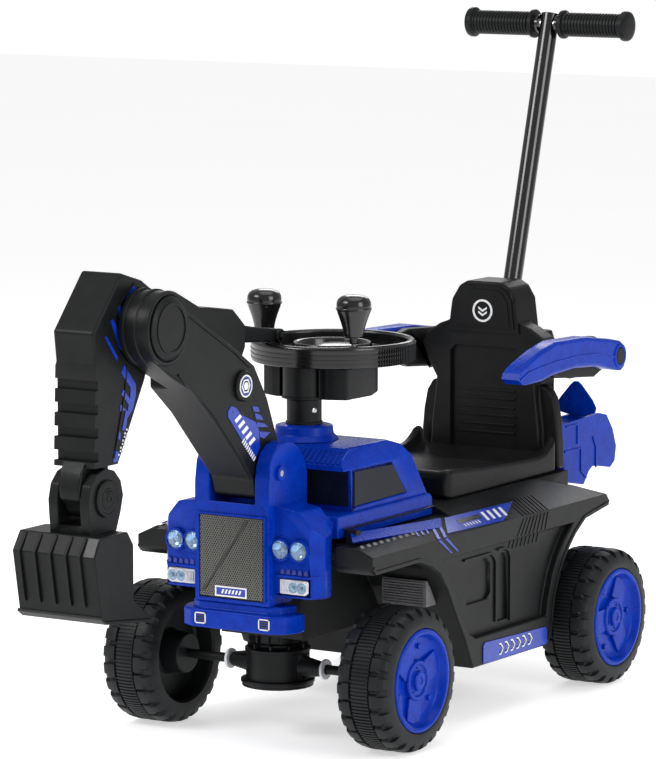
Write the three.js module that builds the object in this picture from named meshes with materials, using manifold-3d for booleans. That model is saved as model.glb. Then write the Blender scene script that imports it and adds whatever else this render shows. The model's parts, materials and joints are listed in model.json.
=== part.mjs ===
// Ride-on digger: an assembly of named, separate, closed bodies.
// Units are millimetres, +Z is up, the vehicle drives towards -Y and its left side is +X.
// Every Y value below is measured rearward from the front axle; FRONT_AXLE_Y moves the finished
// assembly so that the origin sits at the centre of the footprint, on the ground.
import * as THREE from "three";
import Module from "manifold-3d";
import { mergeVertices } from "three/addons/utils/BufferGeometryUtils.js";

// ---------------------------------------------------------------- driving dimensions
const FRONT_AXLE_Y = -148;
const GAP = 0.4;
const PIN_PLAY = 0.4;

const WHEEL = {
  radius: 90, axleZ: 90, trackHalf: 173.5, wheelbase: 506, segments: 28, capSegments: 24, boreRadius: 6.4,
};
const AXLE = { radius: 6, halfLength: 187 };
const STEER = {
  y: 62, kingpinY: 0, crankLength: 30, crankRadius: 8, crankZ: [143, 151], tieZ: [151.6, 158],
  columnRadius: 22, shaftRadius: 7, jointRadius: 2.8,
};
const CARRIER = {
  armRadius: 15, tipRadius: 9, armEnd: 66, washerX: 68, washerThickness: 4, washerRadius: 13,
};

const BODY = {
  halfWidth: 172, coreHalf: 60, floorTop: 140, rearHalf: 115, tailHalf: 57,
  lugX: [62, 76], panelX: 162, hollowHalf: 152, rearHollowHalf: 107, neckRadius: 33, neckZ: 119.6,
  roofZ: 262,
};
const COWL = { noseHalf: 54, slotHalf: 33, podHalf: 117, deckHalf: 113, cabHalf: 107 };
const BOOM = { half: 31, pivot: [-80, 345], pinRadius: 5, elbow: [-294, 543], capX: 35, splitX: -6 };
const DIPPER = { x0: -66, x1: -8, wrist: [-361, 346], tongue: [-52, -22], pinRadius: 5, elbowPinRadius: 8 };
const BUCKET = { x0: -103, x1: 15, wall: 5 };
const LINK = { x0: -48, x1: -34, front: [-88, 512], rear: [56, 494], pinRadius: 4 };
const CONSOLE = { y: 130, radius: 103, dishRadius: 95, z0: 459, z1: 484, floorTop: 468, segments: 40 };
const LEVER = { leftX: 64, rightX: -68, y: 76, pivotZ: 464, rodRadius: 3, rodTop: 500 };
const SEAT = { half: 110, front: 228, back: 513.6, dishHalf: 92, dishZ: 288 };
const BACKREST = { y0: 514, y1: 545, bolsterY: 527, hollowY: 535, headY: [511, 568], panelDepth: 6 };
const BACKFRAME = { half: 58 };
const BRACKET = { x0: 109, x1: 121, beamY: [556, 600], beamZ: [398, 440] };
const ARMREST = { x0: 121.6, x1: 147, pivot: [622, 421], pinRadius: 6 };
const PUSH = {
  radius: 12.5, foot: [561, 420], head: [686, 858], barHalf: 124, coreRadius: 8, gripRadius: 15,
};
const POCKET = { x0: 59, x1: 94, wall: 4 };
const SPADE = { x: 76.5, y: 630, thickness: 3 };

// Side views, as [rearward, up] outlines.
const SIDE_BODY = [
  [-57, 232], [-49, 224], [56, 225], [84, 216], [105, 204], [124, 180], [138, 157], [152, 134], [166, 113],
  [182, 82], [188, 70], [383, 69], [390, 84], [395, 100], [400, 128], [412, 156], [424, 174], [438, 190],
  [456, 206], [482, 222], [546, 230], [551, 235], [540, 247], [500, 262], [440, 274.4], [188, 274.4],
  [187.6, 262], [-57, 256],
];
const ARCH_HOLLOW = [
  [215, 60], [200, 70], [194, 82], [178, 116], [164, 138], [150, 160], [136, 184], [118, 210], [100, 226],
  [100, 250], [215, 250],
];
const DOOR_SHAPES = [
  [[188, 150], [188, 194], [198, 204], [240, 204], [249, 195], [249, 158], [241, 150]],
  [[267, 117], [267, 196], [276, 205], [286, 205], [293, 197], [293, 117]],
];
const CORE_SIDE = [[-37.6, 131], [195, 131], [195, 262], [-37.6, 262]];
const REAR_CORE_SIDE = [[370, 104], [530, 104], [540, 124], [540, 274.4], [370, 274.4]];
const TAIL_SIDE = [[520, 150], [590, 150], [600, 170], [600, 274.4], [520, 274.4]];
const FENDER_CHAMFER = [[112, 275], [180, 243.4], [180, 300], [112, 300]];
const EAR_SIDE = [
  [-104, 262.4], [-104, 338], [-101, 356], [-93, 370], [-80, 379], [-64, 382], [-48, 379], [-34, 370],
  [-22, 356], [-16, 338], [-16, 262.4],
];
const NOSE_SIDE = [[-104, 182], [-52, 182], [-52, 262.4], [-16, 262.4], [-16, 300], [-86, 300], [-104, 308]];
const POD_PLAN = [[50, -92], [103, -90], [116, -74], [114, -58], [104, -40], [50, -40]];
const POD_TOP_CUT = [[54, 306], [88, 301], [106, 280], [125, 262], [125, 320], [54, 320]];
const DECK_SIDE = [[-40, 262.4], [187, 262.4], [187, 285], [182, 290], [-40, 290]];
const CAB_SIDE = [
  [2, 284], [2, 342], [-15, 342], [-15, 348], [14, 366], [112, 366], [138, 358], [187, 284],
];
const CAB_FRONT_VIEW = [[-107, 283], [107, 283], [105, 345], [89, 367], [-89, 367], [-105, 345]];
const CAB_HOLLOW_SIDE = [[12, 240], [12, 336], [24, 350], [108, 350], [126, 348], [166, 284], [166, 240]];
const BUMPER_PLAN = [
  [-58, -108], [58, -108], [74, -100], [82, -80], [82, -66], [-82, -66], [-82, -80], [-74, -100],
];
const BUMPER_BACK = -66;
const WINDOW_SIDE = [[8, 296], [133, 298], [100, 338], [8, 340]];
const BOOM_SIDE = [
  [-336, 543], [-332, 560], [-318, 577], [-296, 586], [-272, 580], [-250, 562], [-137, 500], [-100, 478],
  [-69, 432], [-43, 372], [-44, 345], [-55, 319], [-80, 309], [-98, 316], [-104, 338], [-191, 426],
  [-236, 462], [-282, 484], [-318, 505], [-332, 524],
];
const HUMP_SIDE = [
  [-230, 552], [-230, 574], [-213, 577], [-160, 553], [-140, 551], [-86, 543], [-59, 521], [-59, 494],
  [-80, 460], [-110, 470], [-220, 530],
];
const DIPPER_SIDE = [
  [-326, 609], [-284, 597], [-258, 582], [-244, 560], [-242, 538], [-250, 518], [-268, 502], [-279, 476],
  [-334, 384], [-384, 384], [-384, 400], [-380, 506], [-385, 543],
];
const SIDE_PANEL = [
  [196, 108], [380, 108], [384, 128], [396, 160], [410, 182], [428, 202], [450, 220], [112, 220], [138, 186],
  [152, 162], [166, 138], [181, 116],
];
const DIPPER_RIBS_Z = [398, 426, 454, 482];
const TONGUE_SIDE = [
  [-336, 390], [-337, 340], [-344, 329], [-355, 322], [-368, 322], [-380, 329], [-386, 340], [-395, 347],
  [-396, 360], [-392, 378], [-384, 390],
];
const BUCKET_SIDE = [
  [-403, 307], [-418, 285], [-405, 213], [-396, 207], [-297, 195], [-338, 224], [-338, 290], [-350, 307],
];
const BUCKET_HOLLOW = [[-398, 300], [-412, 285], [-400, 218], [-290, 204], [-290, 300]];
const LUG_SIDE = [
  [-392, 304], [-396, 330], [-397, 346], [-392, 364], [-379, 377], [-361, 382], [-343, 377], [-330, 364],
  [-325, 346], [-330, 328], [-340, 304],
];
const LINK_SIDE = [
  [-102, 506], [-100, 521], [-86, 527], [0, 511], [52, 504], [62, 502], [66, 494], [60, 486.4],
  [0, 491], [-92, 499],
];
const SEAT_SIDE = [
  [228, 275], [513.6, 275], [513.6, 306], [500, 300], [440, 301], [330, 306], [236, 312], [228, 304],
];
const BACKREST_FRONT = [
  [-84, 276], [84, 276], [82, 330], [78, 362], [75, 390], [90, 416], [98, 436], [90, 450], [70, 463],
  [50, 470], [-50, 470], [-70, 463], [-90, 450], [-98, 436], [-90, 416], [-75, 390], [-78, 362], [-82, 330],
];
const BOLSTER_FRONT = [
  [-106, 276], [106, 276], [105, 313], [102, 345], [97, 370], [88, 384], [70, 388], [-70, 388], [-88, 384],
  [-97, 370], [-102, 345], [-105, 313],
];
const BACKREST_HOLLOW = [
  [-92, 284], [92, 284], [90, 326], [84, 356], [64, 374], [64, 396], [80, 416], [86, 432], [80, 440],
  [-80, 440], [-86, 432], [-80, 416], [-64, 396], [-64, 374], [-84, 356], [-90, 326],
];
const PANEL_FRONT = [[-53, 296], [53, 296], [53, 428], [45, 436], [-45, 436], [-53, 428]];
const HEAD_FRONT = [
  [-54, 455], [54, 455], [48, 500], [38, 516], [26, 523], [-26, 523], [-38, 516], [-48, 500],
];
const BACKFRAME_SIDE = [[545.4, 275], [599, 275], [604, 330], [606, 440], [598, 453.6], [545.4, 453.6]];
const BRACKET_SIDE = [
  [477, 410], [477, 450], [500, 454], [600, 448], [636, 436], [640, 420], [632, 404], [600, 393], [500, 402],
];
const ARMREST_SIDE = [
  [346, 418], [350, 426], [372, 438], [408, 450], [446, 458], [530, 456], [600, 446], [626, 441], [638, 434],
  [642, 421], [638, 408], [624, 401], [602, 404], [560, 413], [500, 417], [440, 414], [410, 409], [373, 409],
  [356, 411],
];
const POCKET_SIDE = [
  [548, 331], [548, 296], [560, 294], [569, 252], [622, 242], [636, 258], [647, 264], [664, 262], [698, 256],
  [710, 264], [714, 284], [704, 308], [686, 330], [664, 335],
];
const POCKET_HOLLOW = [
  [604, 306], [604, 345], [672, 345], [684, 324], [698, 304], [706, 284], [704, 270], [696, 264], [668, 269],
  [652, 271], [645, 306],
];
const SPADE_FRONT = [
  [-5, 306.4], [-5, 334], [-29, 339], [-31, 346], [-25, 357], [-8, 377], [-3, 381], [3, 381], [8, 377],
  [25, 357], [31, 346], [29, 339], [5, 334], [5, 306.4],
];

// Radius of the tread corners that puts the flat of each tread facet at the rolling radius.
const TREAD = WHEEL.radius / Math.cos(Math.PI / WHEEL.segments);

// Turned profiles, as [radius, height along the axis].
const TYRE_PROFILE = [
  [0, -38], [26, -38], [28, -8], [60, -8], [64, -36], [79, -35], [TREAD, -24], [TREAD, 24], [79, 35],
  [65, 36], [65, 10], [0, 10],
];
const CAP_PROFILE = [[0, 10.4], [64.4, 10.4], [64.4, 38], [57, 38], [50, 28], [25, 26], [21, 34], [0, 35]];
const CARRIER_PROFILE = [
  [0, 64], [45, 64], [45, 70], [40, 73], [40, 112], [32, 115], [32, 119.2], [10, 119.2], [10, 143], [0, 143],
];
const CRANK_HUB = [[0, 143.4], [11, 143.4], [11, 151], [0, 151]];
const COLLAR_PROFILE = [[0, 366.6], [44, 366.6], [37, 374], [36, 384], [27, 386], [0, 386]];
const KNOB_PROFILE = [
  [0, 497], [8, 497], [9.5, 503], [16, 517], [20.5, 526], [21.5, 534], [18, 543], [10, 548.5], [0, 549.5],
];
const GRIP_PROFILE = [
  [0, 20], [19, 20], [19, 25], [PUSH.gripRadius, 27], [PUSH.gripRadius, 112], [20, 115], [20, 121],
  [14, 124], [0, 124],
];
const ARM_PROFILE = [
  [0, 0], [CARRIER.armRadius, 0], [CARRIER.armRadius, 34], [CARRIER.tipRadius, CARRIER.armEnd],
  [0, CARRIER.armEnd],
];
const TRAY_DOME = [[0, 466], [40, 466], [34, 474], [20, 478], [0, 479]];

const COLOURS = {
  blue: 0x1230c8, black: 0x1a1b1d, tyre: 0x24262a, steel: 0xb4b8bc, glass: 0x0d1014, lens: 0xd8e6f4,
  white: 0xf0f0ee,
};

// ---------------------------------------------------------------- solids
const wasm = await Module();
wasm.setup();
const group = new THREE.Group();
group.name = "ride_on_digger";

const [UNIT_X, UNIT_Y, UNIT_Z] = [
  new THREE.Vector3(1, 0, 0), new THREE.Vector3(0, 1, 0), new THREE.Vector3(0, 0, 1),
];
const AXES = {
  x: new THREE.Matrix4().makeBasis(UNIT_Y, UNIT_Z, UNIT_X),
  y: new THREE.Matrix4().makeBasis(UNIT_Z, UNIT_X, UNIT_Y),
  z: new THREE.Matrix4(),
};

// Closed triangle set from a geometry, with the zero-area triangles on a turning axis dropped.
function solid(geometry) {
  geometry.deleteAttribute("normal");
  geometry.deleteAttribute("uv");
  const welded = mergeVertices(geometry, 1e-4);
  const index = welded.index.array;
  const kept = [];
  for (let i = 0; i < index.length; i += 3) {
    const [a, b, c] = [index[i], index[i + 1], index[i + 2]];
    if (a !== b && b !== c && c !== a) kept.push(a, b, c);
  }
  const vertProperties = new Float32Array(welded.attributes.position.array);
  const mesh = new wasm.Mesh({ numProp: 3, vertProperties, triVerts: new Uint32Array(kept) });
  return new wasm.Manifold(mesh);
}

function extrude(outline, from, to, matrix) {
  const shape = new THREE.Shape(outline.map(([a, b]) => new THREE.Vector2(a, b)));
  const geometry = new THREE.ExtrudeGeometry(shape, { depth: to - from, bevelEnabled: false });
  geometry.translate(0, 0, from);
  geometry.applyMatrix4(matrix);
  return solid(geometry);
}

// Outline in [y, z], carried from x0 to x1.
const sidePlate = (outline, x0, x1) => extrude(outline, x0, x1, AXES.x);
// Outline in [x, y], carried from z0 to z1.
const planPlate = (outline, z0, z1) => extrude(outline, z0, z1, AXES.z);
// Outline in [x, z], carried from y0 to y1.
const frontPlate = (outline, y0, y1) => extrude(outline.map(([x, z]) => [z, x]), y0, y1, AXES.y);

function block(x0, x1, y0, y1, z0, z1) {
  return planPlate([[x0, y0], [x1, y0], [x1, y1], [x0, y1]], z0, z1);
}

// Turned body about a line parallel to the named axis through centre.
function turned(profile, axis, centre, segments) {
  const points = profile.map(([r, h]) => new THREE.Vector2(r, h));
  const geometry = new THREE.LatheGeometry(points, segments);
  geometry.rotateX(Math.PI / 2);
  geometry.rotateZ(Math.PI / segments + Math.PI / 2);
  geometry.applyMatrix4(AXES[axis]);
  geometry.translate(...centre);
  const body = solid(geometry);
  return body.volume() < 0 ? flipped(geometry) : body;
}

function flipped(geometry) {
  const index = geometry.index.array;
  for (let i = 0; i < index.length; i += 3) {
    [index[i], index[i + 1]] = [index[i + 1], index[i]];
  }
  return solid(geometry);
}

function rod(axis, from, to, centre, radius, segments = 16) {
  return turned([[0, from], [radius, from], [radius, to], [0, to]], axis, centre, segments);
}

const join = (...bodies) => bodies.reduce((all, next) => all.add(next));
const carve = (body, ...tools) => tools.reduce((left, tool) => left.subtract(tool), body);
const mirrored = (body) => body.mirror([1, 0, 0]);
const mirrorOutline = (outline) => outline.map(([x, other]) => [-x, other]).reverse();

function addNode(name, body, colour, roughness = 0.55, metalness = 0) {
  const mesh = body.translate(0, FRONT_AXLE_Y, 0).getMesh();
  const geometry = new THREE.BufferGeometry();
  geometry.setAttribute("position", new THREE.BufferAttribute(new Float32Array(mesh.vertProperties), 3));
  geometry.setIndex(new THREE.BufferAttribute(new Uint32Array(mesh.triVerts), 1));
  geometry.computeVertexNormals();
  const material = new THREE.MeshStandardMaterial({ color: colour, roughness, metalness, flatShading: true });
  const node = new THREE.Mesh(geometry, material);
  node.name = name;
  group.add(node);
}

// ---------------------------------------------------------------- body shell
function buildBody() {
  const side = carve(
    sidePlate(SIDE_BODY, -BODY.halfWidth, BODY.halfWidth),
    frontPlate(FENDER_CHAMFER, -90, 600),
    frontPlate(mirrorOutline(FENDER_CHAMFER), -90, 600),
  );
  const core = sidePlate(CORE_SIDE, -BODY.coreHalf, BODY.coreHalf);
  const rear = sidePlate(REAR_CORE_SIDE, -BODY.rearHalf, BODY.rearHalf);
  const tail = sidePlate(TAIL_SIDE, -BODY.tailHalf, BODY.tailHalf);
  const neck = rod("z", BODY.neckZ, BODY.floorTop, [0, STEER.kingpinY, 0], BODY.neckRadius, 24);
  let shell = carve(
    join(side, core, rear, tail, neck),
    block(-BODY.hollowHalf, BODY.hollowHalf, 214, 380, 50, 238),
    block(-110, 110, 214, 380, 50, BODY.roofZ),
    block(-BODY.rearHollowHalf, BODY.rearHollowHalf, 214, 530, 50, BODY.roofZ),
    block(-49, 49, 500, 590, 140, BODY.roofZ),
  );
  for (const [x0, x1] of [[70, BODY.hollowHalf], [-BODY.hollowHalf, -70]]) {
    shell = carve(
      shell,
      sidePlate(ARCH_HOLLOW, x0, x1),
      block(x0, x1, -48, 100, 200, 244),
      block(Math.max(x0, -152), x1, 478, 530, 200, 240),
    );
  }
  const y = WHEEL.wheelbase;
  const lugOutline = [[y - 14, 266], [y - 14, 84], [y - 8, 76], [y + 8, 76], [y + 14, 84], [y + 14, 266]];
  const lug = sidePlate(lugOutline, ...BODY.lugX);
  shell = join(shell, lug, mirrored(lug));
  shell = carve(
    shell,
    block(-48, 48, -28, 160, BODY.floorTop, 300),
    block(-COWL.podHalf - 1, COWL.podHalf + 1, -120, -37.6, 100, 300),
    block(BODY.tailHalf + 1, 114, 541, 560, 200, 280),
    block(-114, -BODY.tailHalf - 1, 541, 560, 200, 280),
    rod("z", 100, 150, [0, STEER.kingpinY, 0], 10 + PIN_PLAY),
    rod("z", 100, 150, [0, STEER.y, 0], STEER.shaftRadius + PIN_PLAY),
    rod("x", -120, 120, [0, WHEEL.wheelbase, WHEEL.axleZ], AXLE.radius + PIN_PLAY),
  );
  const recess = join(
    sidePlate(SIDE_PANEL, BODY.panelX, BODY.halfWidth + 1),
    ...DOOR_SHAPES.map((door) => sidePlate(door, BODY.panelX - 4, BODY.halfWidth + 1)),
  );
  return carve(shell, recess, mirrored(recess));
}

// ---------------------------------------------------------------- cowl, bumper, grille and lamps
const LAMPS = [["outer", 90], ["inner", 63.6]];
const LAMP = { z: 253, radius: 13, depth: 6, segments: 20 };
const FOG = { x0: 62, x1: 102, z0: 199, z1: 217, depth: 6 };
const GRILLE = { half: 47, z0: 188, z1: 291, depth: 5 };
const LAMP_FACE_Y = -92;
const WINDOW = { x0: 100, x1: 106, cutTo: 120, centre: [60, 318] };

function buildCowl() {
  const ears = [COWL.slotHalf, COWL.noseHalf];
  let cowl = join(
    sidePlate(NOSE_SIDE, -COWL.noseHalf, COWL.noseHalf),
    sidePlate(EAR_SIDE, ears[0], ears[1]),
    sidePlate(EAR_SIDE, -ears[1], -ears[0]),
    sidePlate(DECK_SIDE, -COWL.deckHalf, COWL.deckHalf),
  );
  const pod = carve(planPlate(POD_PLAN, 194, 306), frontPlate(POD_TOP_CUT, -100, -10));
  cowl = join(cowl, pod, mirrored(pod));
  const cabSides = sidePlate(CAB_SIDE, -COWL.cabHalf, COWL.cabHalf);
  const cab = cabSides.intersect(frontPlate(CAB_FRONT_VIEW, -50, 220));
  cowl = join(cowl, cab);
  const hollow = sidePlate(CAB_HOLLOW_SIDE, -84, 84);
  const podHollow = block(60, 96, -78, -30, 190, 270);
  cowl = carve(
    cowl,
    hollow,
    podHollow,
    mirrored(podHollow),
    block(-47, 47, -94, -58, 160, 290),
    block(-COWL.slotHalf, COWL.slotHalf, -86, -30, 300, 400),
    block(-COWL.slotHalf, COWL.slotHalf, -120, -60, 308, 400),
    block(-COWL.slotHalf, COWL.slotHalf, -30, -10, 300, 400),
    rod("x", -60, 60, [0, ...BOOM.pivot], BOOM.pinRadius + PIN_PLAY),
    rod("z", 340, 400, [0, STEER.y, 0], STEER.columnRadius + GAP, 28),
    block(-GRILLE.half - GAP, GRILLE.half + GAP, -104, -104 + GRILLE.depth, GRILLE.z0 - GAP, GRILLE.z1 + GAP),
  );
  for (const s of [1, -1]) {
    for (const [, x] of LAMPS) {
      const seatEnd = LAMP_FACE_Y + LAMP.depth + 2;
      const lampSeat = rod("y", -110, seatEnd, [s * x, 0, LAMP.z], LAMP.radius + GAP, LAMP.segments);
      cowl = carve(cowl, lampSeat);
    }
    const [x0, x1] = s > 0 ? [FOG.x0, FOG.x1] : [-FOG.x1, -FOG.x0];
    const fogEnd = LAMP_FACE_Y + FOG.depth + 2;
    cowl = carve(cowl, block(x0 - GAP, x1 + GAP, -110, fogEnd, FOG.z0 - GAP, FOG.z1 + GAP));
  }
  const [left, right] = [windowPlate(1, GAP), windowPlate(-1, GAP)];
  return carve(cowl, left, right);
}

// A dark pane set in the flank of the cab.
function windowPlate(side, grow) {
  const [cy, cz] = WINDOW.centre;
  const outline = WINDOW_SIDE.map(([y, z]) => [y + Math.sign(y - cy) * grow, z + Math.sign(z - cz) * grow]);
  const pane = sidePlate(outline, WINDOW.x0 - grow, grow > 0 ? WINDOW.cutTo : WINDOW.x1);
  return side > 0 ? pane : mirrored(pane);
}

function buildBumper() {
  const bar = planPlate(BUMPER_PLAN, 149, 172);
  const step = planPlate(BUMPER_PLAN.map(([x, y]) => [x * 0.86, y + (y < BUMPER_BACK ? 7 : 0)]), 166, 181.6);
  return carve(join(bar, step), block(-66, 66, -88, -58, 140, 166));
}

// ---------------------------------------------------------------- wheels and axles
function buildWheel(side, y) {
  const centre = [side * WHEEL.trackHalf, y, WHEEL.axleZ];
  const tyre = carve(
    turned(side > 0 ? TYRE_PROFILE : flipProfile(TYRE_PROFILE), "x", centre, WHEEL.segments),
    rod("x", -80, 80, centre, WHEEL.boreRadius),
  );
  const cap = carve(
    turned(side > 0 ? CAP_PROFILE : flipProfile(CAP_PROFILE), "x", centre, WHEEL.capSegments),
    side > 0 ? rod("x", 5, 18, centre, 12) : rod("x", -18, -5, centre, 12),
  );
  return [tyre, cap];
}

const flipProfile = (profile) => profile.map(([r, h]) => [r, -h]).reverse();

function buildCarrier() {
  const arm = turned(ARM_PROFILE, "x", [0, 0, WHEEL.axleZ], 16);
  const drum = turned(CARRIER_PROFILE, "z", [0, STEER.kingpinY, 0], 24);
  return carve(
    join(drum, arm, mirrored(arm)),
    rod("x", -120, 120, [0, 0, WHEEL.axleZ], AXLE.radius + PIN_PLAY),
  );
}

function crankArm(y) {
  const r = STEER.crankRadius;
  const tip = -STEER.crankLength;
  const bar = block(tip, 0, y - r, y + r, ...STEER.crankZ);
  return join(bar, rod("z", ...STEER.crankZ, [tip, y, 0], r));
}

// ---------------------------------------------------------------- build
addNode("body_shell", buildBody(), COLOURS.black);
addNode("cowl", buildCowl(), COLOURS.blue, 0.35);
addNode("bumper", buildBumper(), COLOURS.blue, 0.35);
const grilleBack = -104 + GRILLE.depth - GAP;
const grilleBody = block(-GRILLE.half, GRILLE.half, -105, grilleBack, GRILLE.z0, GRILLE.z1);
addNode("grille", grilleBody, COLOURS.black, 0.6);
const lampBack = LAMP_FACE_Y + 7.6;
const LENS_PROFILE = [
  [0, LAMP_FACE_Y - 3], [8, LAMP_FACE_Y - 2], [LAMP.radius, LAMP_FACE_Y], [LAMP.radius, lampBack],
  [0, lampBack],
];
const SIDES = [["left", 1], ["right", -1]];
for (const [sideName, s] of SIDES) {
  for (const [place, x] of LAMPS) {
    const lens = turned(LENS_PROFILE, "y", [s * x, 0, LAMP.z], LAMP.segments);
    addNode(`headlamp_${sideName}_${place}`, lens, COLOURS.lens, 0.1);
  }
  const [x0, x1] = s > 0 ? [FOG.x0, FOG.x1] : [-FOG.x1, -FOG.x0];
  const marker = block(x0, x1, LAMP_FACE_Y - 2, lampBack, FOG.z0, FOG.z1);
  addNode(`marker_lamp_${sideName}`, marker, COLOURS.lens, 0.2);
  addNode(`window_${sideName}`, windowPlate(s, 0), COLOURS.glass, 0.2);
}

// Seat, backrest and the frame behind it.
// The push bar tube leans rearward; its socket in the back frame shares the same axis.
const lean = Math.atan2(PUSH.head[0] - PUSH.foot[0], PUSH.head[1] - PUSH.foot[1]);
const tubeLength = Math.hypot(PUSH.head[0] - PUSH.foot[0], PUSH.head[1] - PUSH.foot[1]);
const LEAN_DEGREES = THREE.MathUtils.radToDeg(lean);
function leaning(body) {
  return body.rotate([-LEAN_DEGREES, 0, 0]).translate(0, PUSH.foot[0], PUSH.foot[1]);
}

const seatSolid = sidePlate(SEAT_SIDE, -SEAT.half, SEAT.half);
const seatDish = block(-SEAT.dishHalf, SEAT.dishHalf, SEAT.front + 16, SEAT.back + 1, SEAT.dishZ, 400);
addNode("seat", carve(seatSolid, seatDish), COLOURS.black);
const backSolid = join(
  frontPlate(BACKREST_FRONT, BACKREST.y0, BACKREST.y1),
  frontPlate(BOLSTER_FRONT, BACKREST.bolsterY, BACKREST.y1),
  frontPlate(HEAD_FRONT, ...BACKREST.headY),
);
addNode("backrest", carve(
  backSolid,
  frontPlate(PANEL_FRONT, BACKREST.y0 - 1, BACKREST.y0 + BACKREST.panelDepth),
  frontPlate(BACKREST_HOLLOW, BACKREST.hollowY, BACKREST.y1 + 1),
  leaning(rod("z", 0, 200, [0, 0, 0], PUSH.radius + 1, 24)),
), COLOURS.black);

addNode("back_frame", carve(
  sidePlate(BACKFRAME_SIDE, -BACKFRAME.half, BACKFRAME.half),
  leaning(rod("z", -GAP, 200, [0, 0, 0], PUSH.radius + GAP, 24)),
  block(-50, 50, 552, 596, 270, 404),
), COLOURS.black);
addNode("push_tube", carve(
  leaning(rod("z", 0, tubeLength + 14, [0, 0, 0], PUSH.radius, 24)),
  rod("x", -30, 30, [0, ...PUSH.head], PUSH.coreRadius + GAP, 20),
), COLOURS.black, 0.3);
const barEnd = PUSH.barHalf - 6;
const crossbar = rod("x", -barEnd, barEnd, [0, ...PUSH.head], PUSH.coreRadius, 20);
addNode("push_crossbar", crossbar, COLOURS.steel, 0.3, 1);
for (const [sideName, s] of SIDES) {
  const grip = turned(s > 0 ? GRIP_PROFILE : flipProfile(GRIP_PROFILE), "x", [0, ...PUSH.head], 16);
  const [b0, b1] = s > 0 ? [10, barEnd + 1] : [-barEnd - 1, -10];
  const gripBore = rod("x", b0, b1, [0, ...PUSH.head], PUSH.coreRadius + GAP, 20);
  addNode(`push_grip_${sideName}`, carve(grip, gripBore), COLOURS.black);
  const beam = block(BACKFRAME.half + GAP, BRACKET.x0 + 2, ...BRACKET.beamY, ...BRACKET.beamZ);
  const plate = join(sidePlate(BRACKET_SIDE, BRACKET.x0, BRACKET.x1), beam);
  const bracket = carve(plate, rod("x", 100, 130, [0, ...ARMREST.pivot], ARMREST.pinRadius + PIN_PLAY));
  addNode(`armrest_bracket_${sideName}`, s > 0 ? bracket : mirrored(bracket), COLOURS.black);
  const rest = carve(
    sidePlate(ARMREST_SIDE, ARMREST.x0, ARMREST.x1),
    rod("x", 110, 160, [0, ...ARMREST.pivot], ARMREST.pinRadius + PIN_PLAY),
    rod("x", ARMREST.x1 - 3, 160, [0, ...ARMREST.pivot], 11 + GAP),
  );
  addNode(`armrest_${sideName}`, s > 0 ? rest : mirrored(rest), COLOURS.blue, 0.35);
  const pin = join(
    rod("x", 106, ARMREST.x1, [0, ...ARMREST.pivot], ARMREST.pinRadius),
    rod("x", ARMREST.x1 - 3 + GAP, ARMREST.x1 + 1.5, [0, ...ARMREST.pivot], 11),
  );
  addNode(`armrest_pin_${sideName}`, s > 0 ? pin : mirrored(pin), COLOURS.black);
}

// Tool pocket and the toy spade standing in it.
addNode("tool_pocket", carve(
  sidePlate(POCKET_SIDE, POCKET.x0, POCKET.x1),
  sidePlate(POCKET_HOLLOW, POCKET.x0 + POCKET.wall, POCKET.x1 - POCKET.wall),
), COLOURS.blue, 0.35);
const spadeOutline = SPADE_FRONT.map(([x, z]) => [SPADE.x + x, z]);
const [spadeFront, spadeRear] = [SPADE.y - SPADE.thickness / 2, SPADE.y + SPADE.thickness / 2];
addNode("toy_spade", frontPlate(spadeOutline, spadeFront, spadeRear), COLOURS.blue, 0.35);

// Steering column, console and levers.
addNode("column_collar", carve(
  turned(COLLAR_PROFILE, "z", [0, STEER.y, 0], 28),
  rod("z", 360, 390, [0, STEER.y, 0], STEER.columnRadius + GAP, 28),
), COLOURS.blue, 0.35);
addNode("steering_column", carve(
  rod("z", 352, 417.6, [0, STEER.y, 0], STEER.columnRadius, 28),
  rod("z", 350, 420, [0, STEER.y, 0], STEER.shaftRadius + PIN_PLAY, 20),
), COLOURS.black);
addNode("steering_shaft", join(
  rod("z", 133, 430, [0, STEER.y, 0], STEER.shaftRadius, 20),
  carve(
    crankArm(STEER.y),
    rod("z", 130, 170, [-STEER.crankLength, STEER.y, 0], STEER.jointRadius + PIN_PLAY, 12),
  ),
), COLOURS.steel, 0.35, 1);
const boxPlan = [[-62, 64], [-44, 56], [44, 56], [62, 64], [64, 122], [50, 158], [-50, 158], [-64, 122]];
addNode("console_box", carve(
  join(
    planPlate(boxPlan, 418, CONSOLE.z0 - GAP),
    rod("z", 418, CONSOLE.z0 - GAP, [0, STEER.y, 0], 27, 28),
  ),
  rod("z", 410, 430.6, [0, STEER.y, 0], STEER.shaftRadius + PIN_PLAY, 20),
), COLOURS.black);
const tray = carve(
  rod("z", CONSOLE.z0, CONSOLE.z1, [0, CONSOLE.y, 0], CONSOLE.radius, CONSOLE.segments),
  rod("z", CONSOLE.floorTop, 500, [0, CONSOLE.y, 0], CONSOLE.dishRadius, CONSOLE.segments),
  block(LEVER.leftX - 4.5, LEVER.leftX + 4.5, LEVER.y - 10, LEVER.y + 10, 450, 475),
  block(LEVER.rightX - 4.5, LEVER.rightX + 4.5, LEVER.y - 10, LEVER.y + 10, 450, 475),
);
addNode("console_tray", join(tray, turned(TRAY_DOME, "z", [0, CONSOLE.y + 12, 0], 24)), COLOURS.black);
for (const [sideName, x] of [["left", LEVER.leftX], ["right", LEVER.rightX]]) {
  const leverRod = rod("z", LEVER.pivotZ - 4, LEVER.rodTop + 10, [x, LEVER.y, 0], LEVER.rodRadius, 12);
  addNode(`lever_rod_${sideName}`, leverRod, COLOURS.steel, 0.35, 1);
  addNode(`lever_knob_${sideName}`, carve(
    turned(KNOB_PROFILE, "z", [x, LEVER.y, 0], 18),
    rod("z", 490, LEVER.rodTop + 10 + GAP, [x, LEVER.y, 0], LEVER.rodRadius + 0.3, 12),
  ), COLOURS.black, 0.3);
}

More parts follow.
